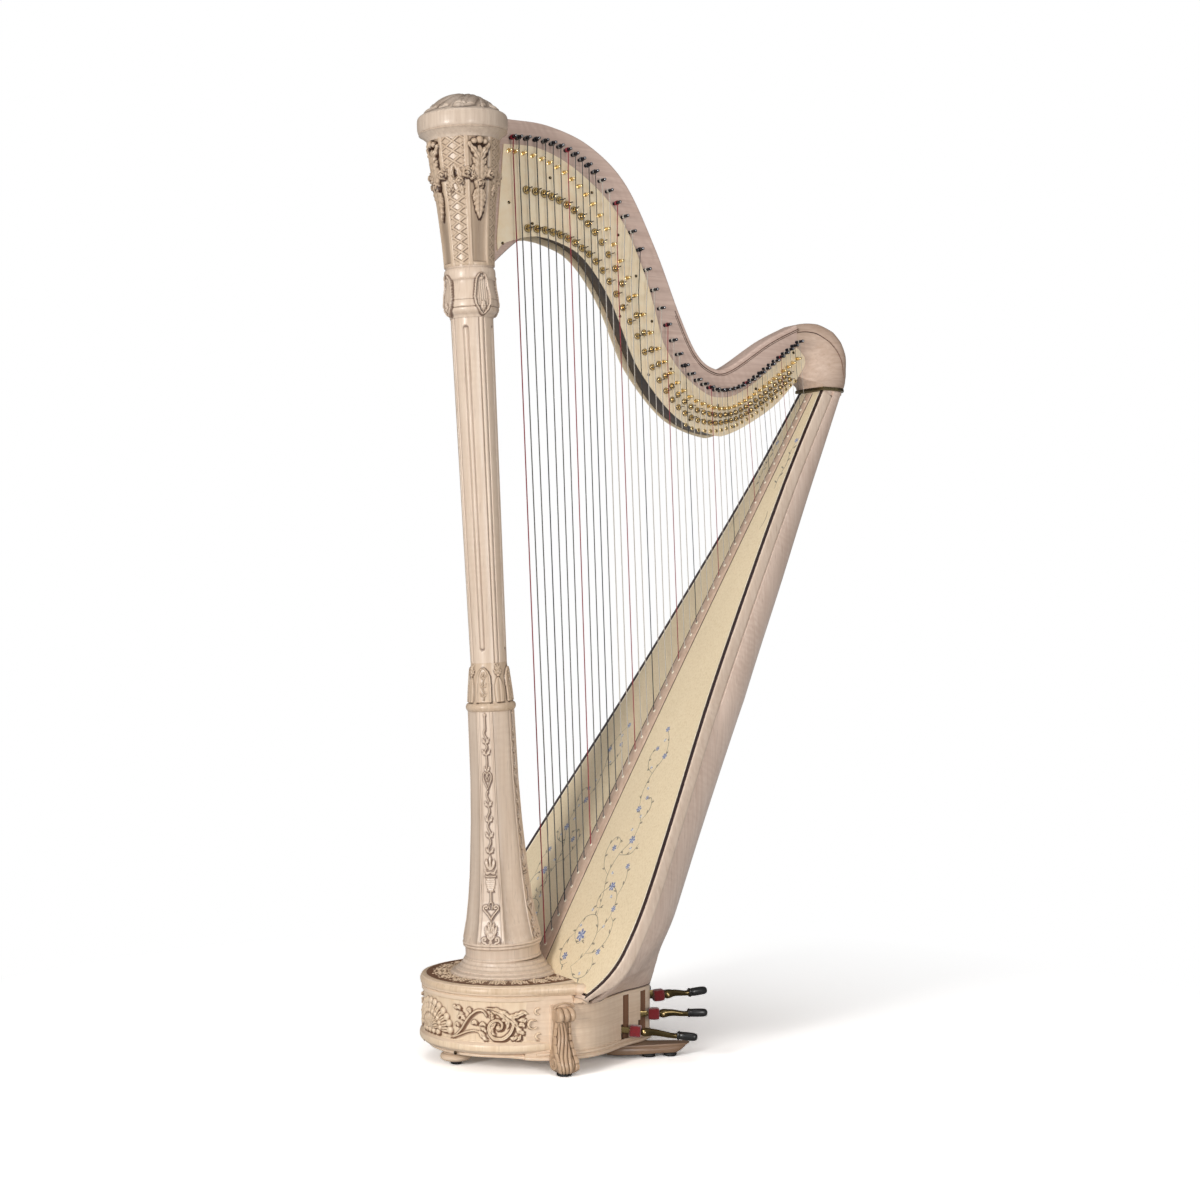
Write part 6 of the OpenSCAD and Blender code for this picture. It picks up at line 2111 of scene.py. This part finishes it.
def shade_base_shell():
    """Painted shade in the pedal slots and inside the box, and on the top under the carving."""
    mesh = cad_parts["base_shell"].data
    mesh.materials.append(BOX_INTERIOR_SHADE)
    mesh.materials.append(CARVING_GROUND_SHADE)
    plan_angle = np.arctan2(BASE_OUTLINE[:, 1], BASE_OUTLINE[:, 0])[::-1]
    plan_radius = np.linalg.norm(BASE_OUTLINE, axis=1)[::-1]
    for face in mesh.polygons:
        x, y, z = (1000 * value for value in face.center)
        x += FRONT_FOOT_X
        radius = math.hypot(x, y)
        outward = (face.normal[0] * x + face.normal[1] * y) / max(1.0, radius)
        limit = np.interp(math.atan2(abs(y), x), plan_angle, plan_radius) - 1.3
        if outward < 0.6 and x > 60 and 38 < z < 129 and radius < limit:
            face.material_index = 1
        if face.normal[2] > 0.9 and z > 140 and radius < 160:
            face.material_index = 2


# ---------------------------------------------------------------- floor, light, camera
def floor_material():
    """Pale paper near the harp that fades into an evenly lit white sweep."""
    surface = Surface("floor_pale")
    tone = surface.ramp(surface.noise(surface.coords(), scale=3.0, detail=2),
                        (0.3, 0.60), (0.7, 0.64))
    surface.finish(Base_Color=tone, Roughness=0.9, Specular_IOR_Level=0.0)
    camera_ray = surface.node("LightPath").outputs["Is Camera Ray"]
    # the camera sees white, while the paper throws less light back up at the harp
    white = surface.node("BsdfDiffuse", {0: (1.95, 1.95, 1.95, 1)}).outputs[0]
    inputs = {0: camera_ray, 1: surface.shader.outputs[0], 2: white}
    paper = surface.node("MixShader", inputs).outputs[0]
    inputs = {0: surface.node("TexCoord").outputs["Object"], 1: (0.25, 0.0, 0.0)}
    distance = surface.node("VectorMath", inputs, operation="DISTANCE").outputs["Value"]
    fade = surface.ramp(surface.math("MULTIPLY", distance, 0.4), (0.22, 0), (0.62, 1))
    strength = surface.math("MULTIPLY_ADD", camera_ray, 0.55, 0.45)
    glow = surface.node("Emission", {0: (1, 1, 1, 1), 1: strength}).outputs[0]
    mixed = surface.node("MixShader", {0: fade, 1: paper, 2: glow}).outputs[0]
    surface.put(surface.output.inputs[0], mixed)
    return surface.material


def build_floor():
    mesh = bpy.data.meshes.new("floor")
    corners = [(-14, -10, 0), (14, -10, 0), (14, 14, 0), (-14, 14, 0)]
    mesh.from_pydata(corners, [], [(0, 1, 2, 3)])
    obj = bpy.data.objects.new("floor", mesh)
    SCENE.collection.objects.link(obj)
    mesh.materials.append(floor_material())


def build_world():
    """White to the camera; as light, bright from front, -Y and above, dim from opposite."""
    world = bpy.data.worlds.new("studio")
    SCENE.world = world
    world.use_nodes = True
    sky = Nodes(world.node_tree)
    inputs = {0: sky.node("TexCoord").outputs["Generated"], 1: (-0.74, -0.56, 0.37)}
    side = sky.node("VectorMath", inputs, operation="DOT_PRODUCT").outputs["Value"]
    light = sky.ramp(sky.math("MULTIPLY_ADD", side, 0.5, 0.5),
                     (0.16, (0.11, 0.096, 0.088, 1)), (0.95, (0.66, 0.66, 0.66, 1)))
    light = sky.node("Background", {0: light, 1: 0.80}).outputs[0]
    white = sky.node("Background", {0: (1, 1, 1, 1), 1: 1.0}).outputs[0]
    camera_ray = sky.node("LightPath").outputs["Is Camera Ray"]
    mixed = sky.node("MixShader", {0: camera_ray, 1: light, 2: white}).outputs[0]
    sky.node("OutputWorld", {0: mixed})


def add_area_light(name, location, target, size, power, color):
    light = bpy.data.lights.new(name, "AREA")
    light.energy = power
    light.color = color
    light.shape = "RECTANGLE"
    light.size, light.size_y = size
    obj = bpy.data.objects.new(name, light)
    SCENE.collection.objects.link(obj)
    obj.location = location
    aim = Vector(target) - Vector(location)
    obj.rotation_euler = aim.to_track_quat("-Z", "Y").to_euler()


def build_lights():
    add_area_light("key", location=(-3.7, -1.7, 1.35), target=(0.1, 0, 0.75),
                   size=(0.7, 1.5), power=106, color=(1.0, 0.985, 0.965))
    add_area_light("top", location=(-0.4, -0.5, 4.6), target=(0.2, 0, 0.0),
                   size=(2.6, 2.6), power=27, color=(1.0, 0.995, 0.985))
    add_area_light("front", location=(-0.2, -4.5, 1.15), target=(0.4, 0, 0.6),
                   size=(1.2, 1.6), power=64, color=(1.0, 0.985, 0.97))


def build_camera():
    camera = bpy.data.cameras.new("camera")
    obj = bpy.data.objects.new("camera", camera)
    SCENE.collection.objects.link(obj)
    camera.sensor_width = 36.0
    camera.lens = 61.08
    camera.clip_start, camera.clip_end = 0.1, 60
    obj.location = (-1.8435 + DRUM_X, -3.5544, 0.898)
    obj.rotation_euler = (math.pi / 2, 0, -math.pi / 6)
    SCENE.camera = obj
    SCENE.view_settings.view_transform = "Standard"
    SCENE.view_settings.look = "None"
    SCENE.view_settings.exposure = 0.0


build_crown()
build_capital()
build_bulb()
build_shaft()
build_collar()
build_pedestal()
build_plinth()

build_drum()
build_drum_top()
build_base_frame()
build_drum_foot()
build_cheeks()
build_heel()
build_box_beads()
build_front_foot()
for foot_side, foot_tag in ((-1, "left"), (1, "right")):
    build_scroll_foot(foot_side, foot_tag)
    build_runner(foot_side, foot_tag)
build_pads()
build_base_screws()

build_belly()
build_string_rib()
build_board_edge()
build_shell()
build_painting()

build_neck()
build_neck_mouldings()
build_shoulder()
build_joint()
build_discs()
build_nuts()
build_pins()
build_plate_screws()
build_bosses()
for number, pedal in enumerate(PEDALS):
    build_pedal(number, *pedal)

finish_cad_pieces()
shade_base_shell()
build_floor()
build_world()
build_lights()
build_camera()
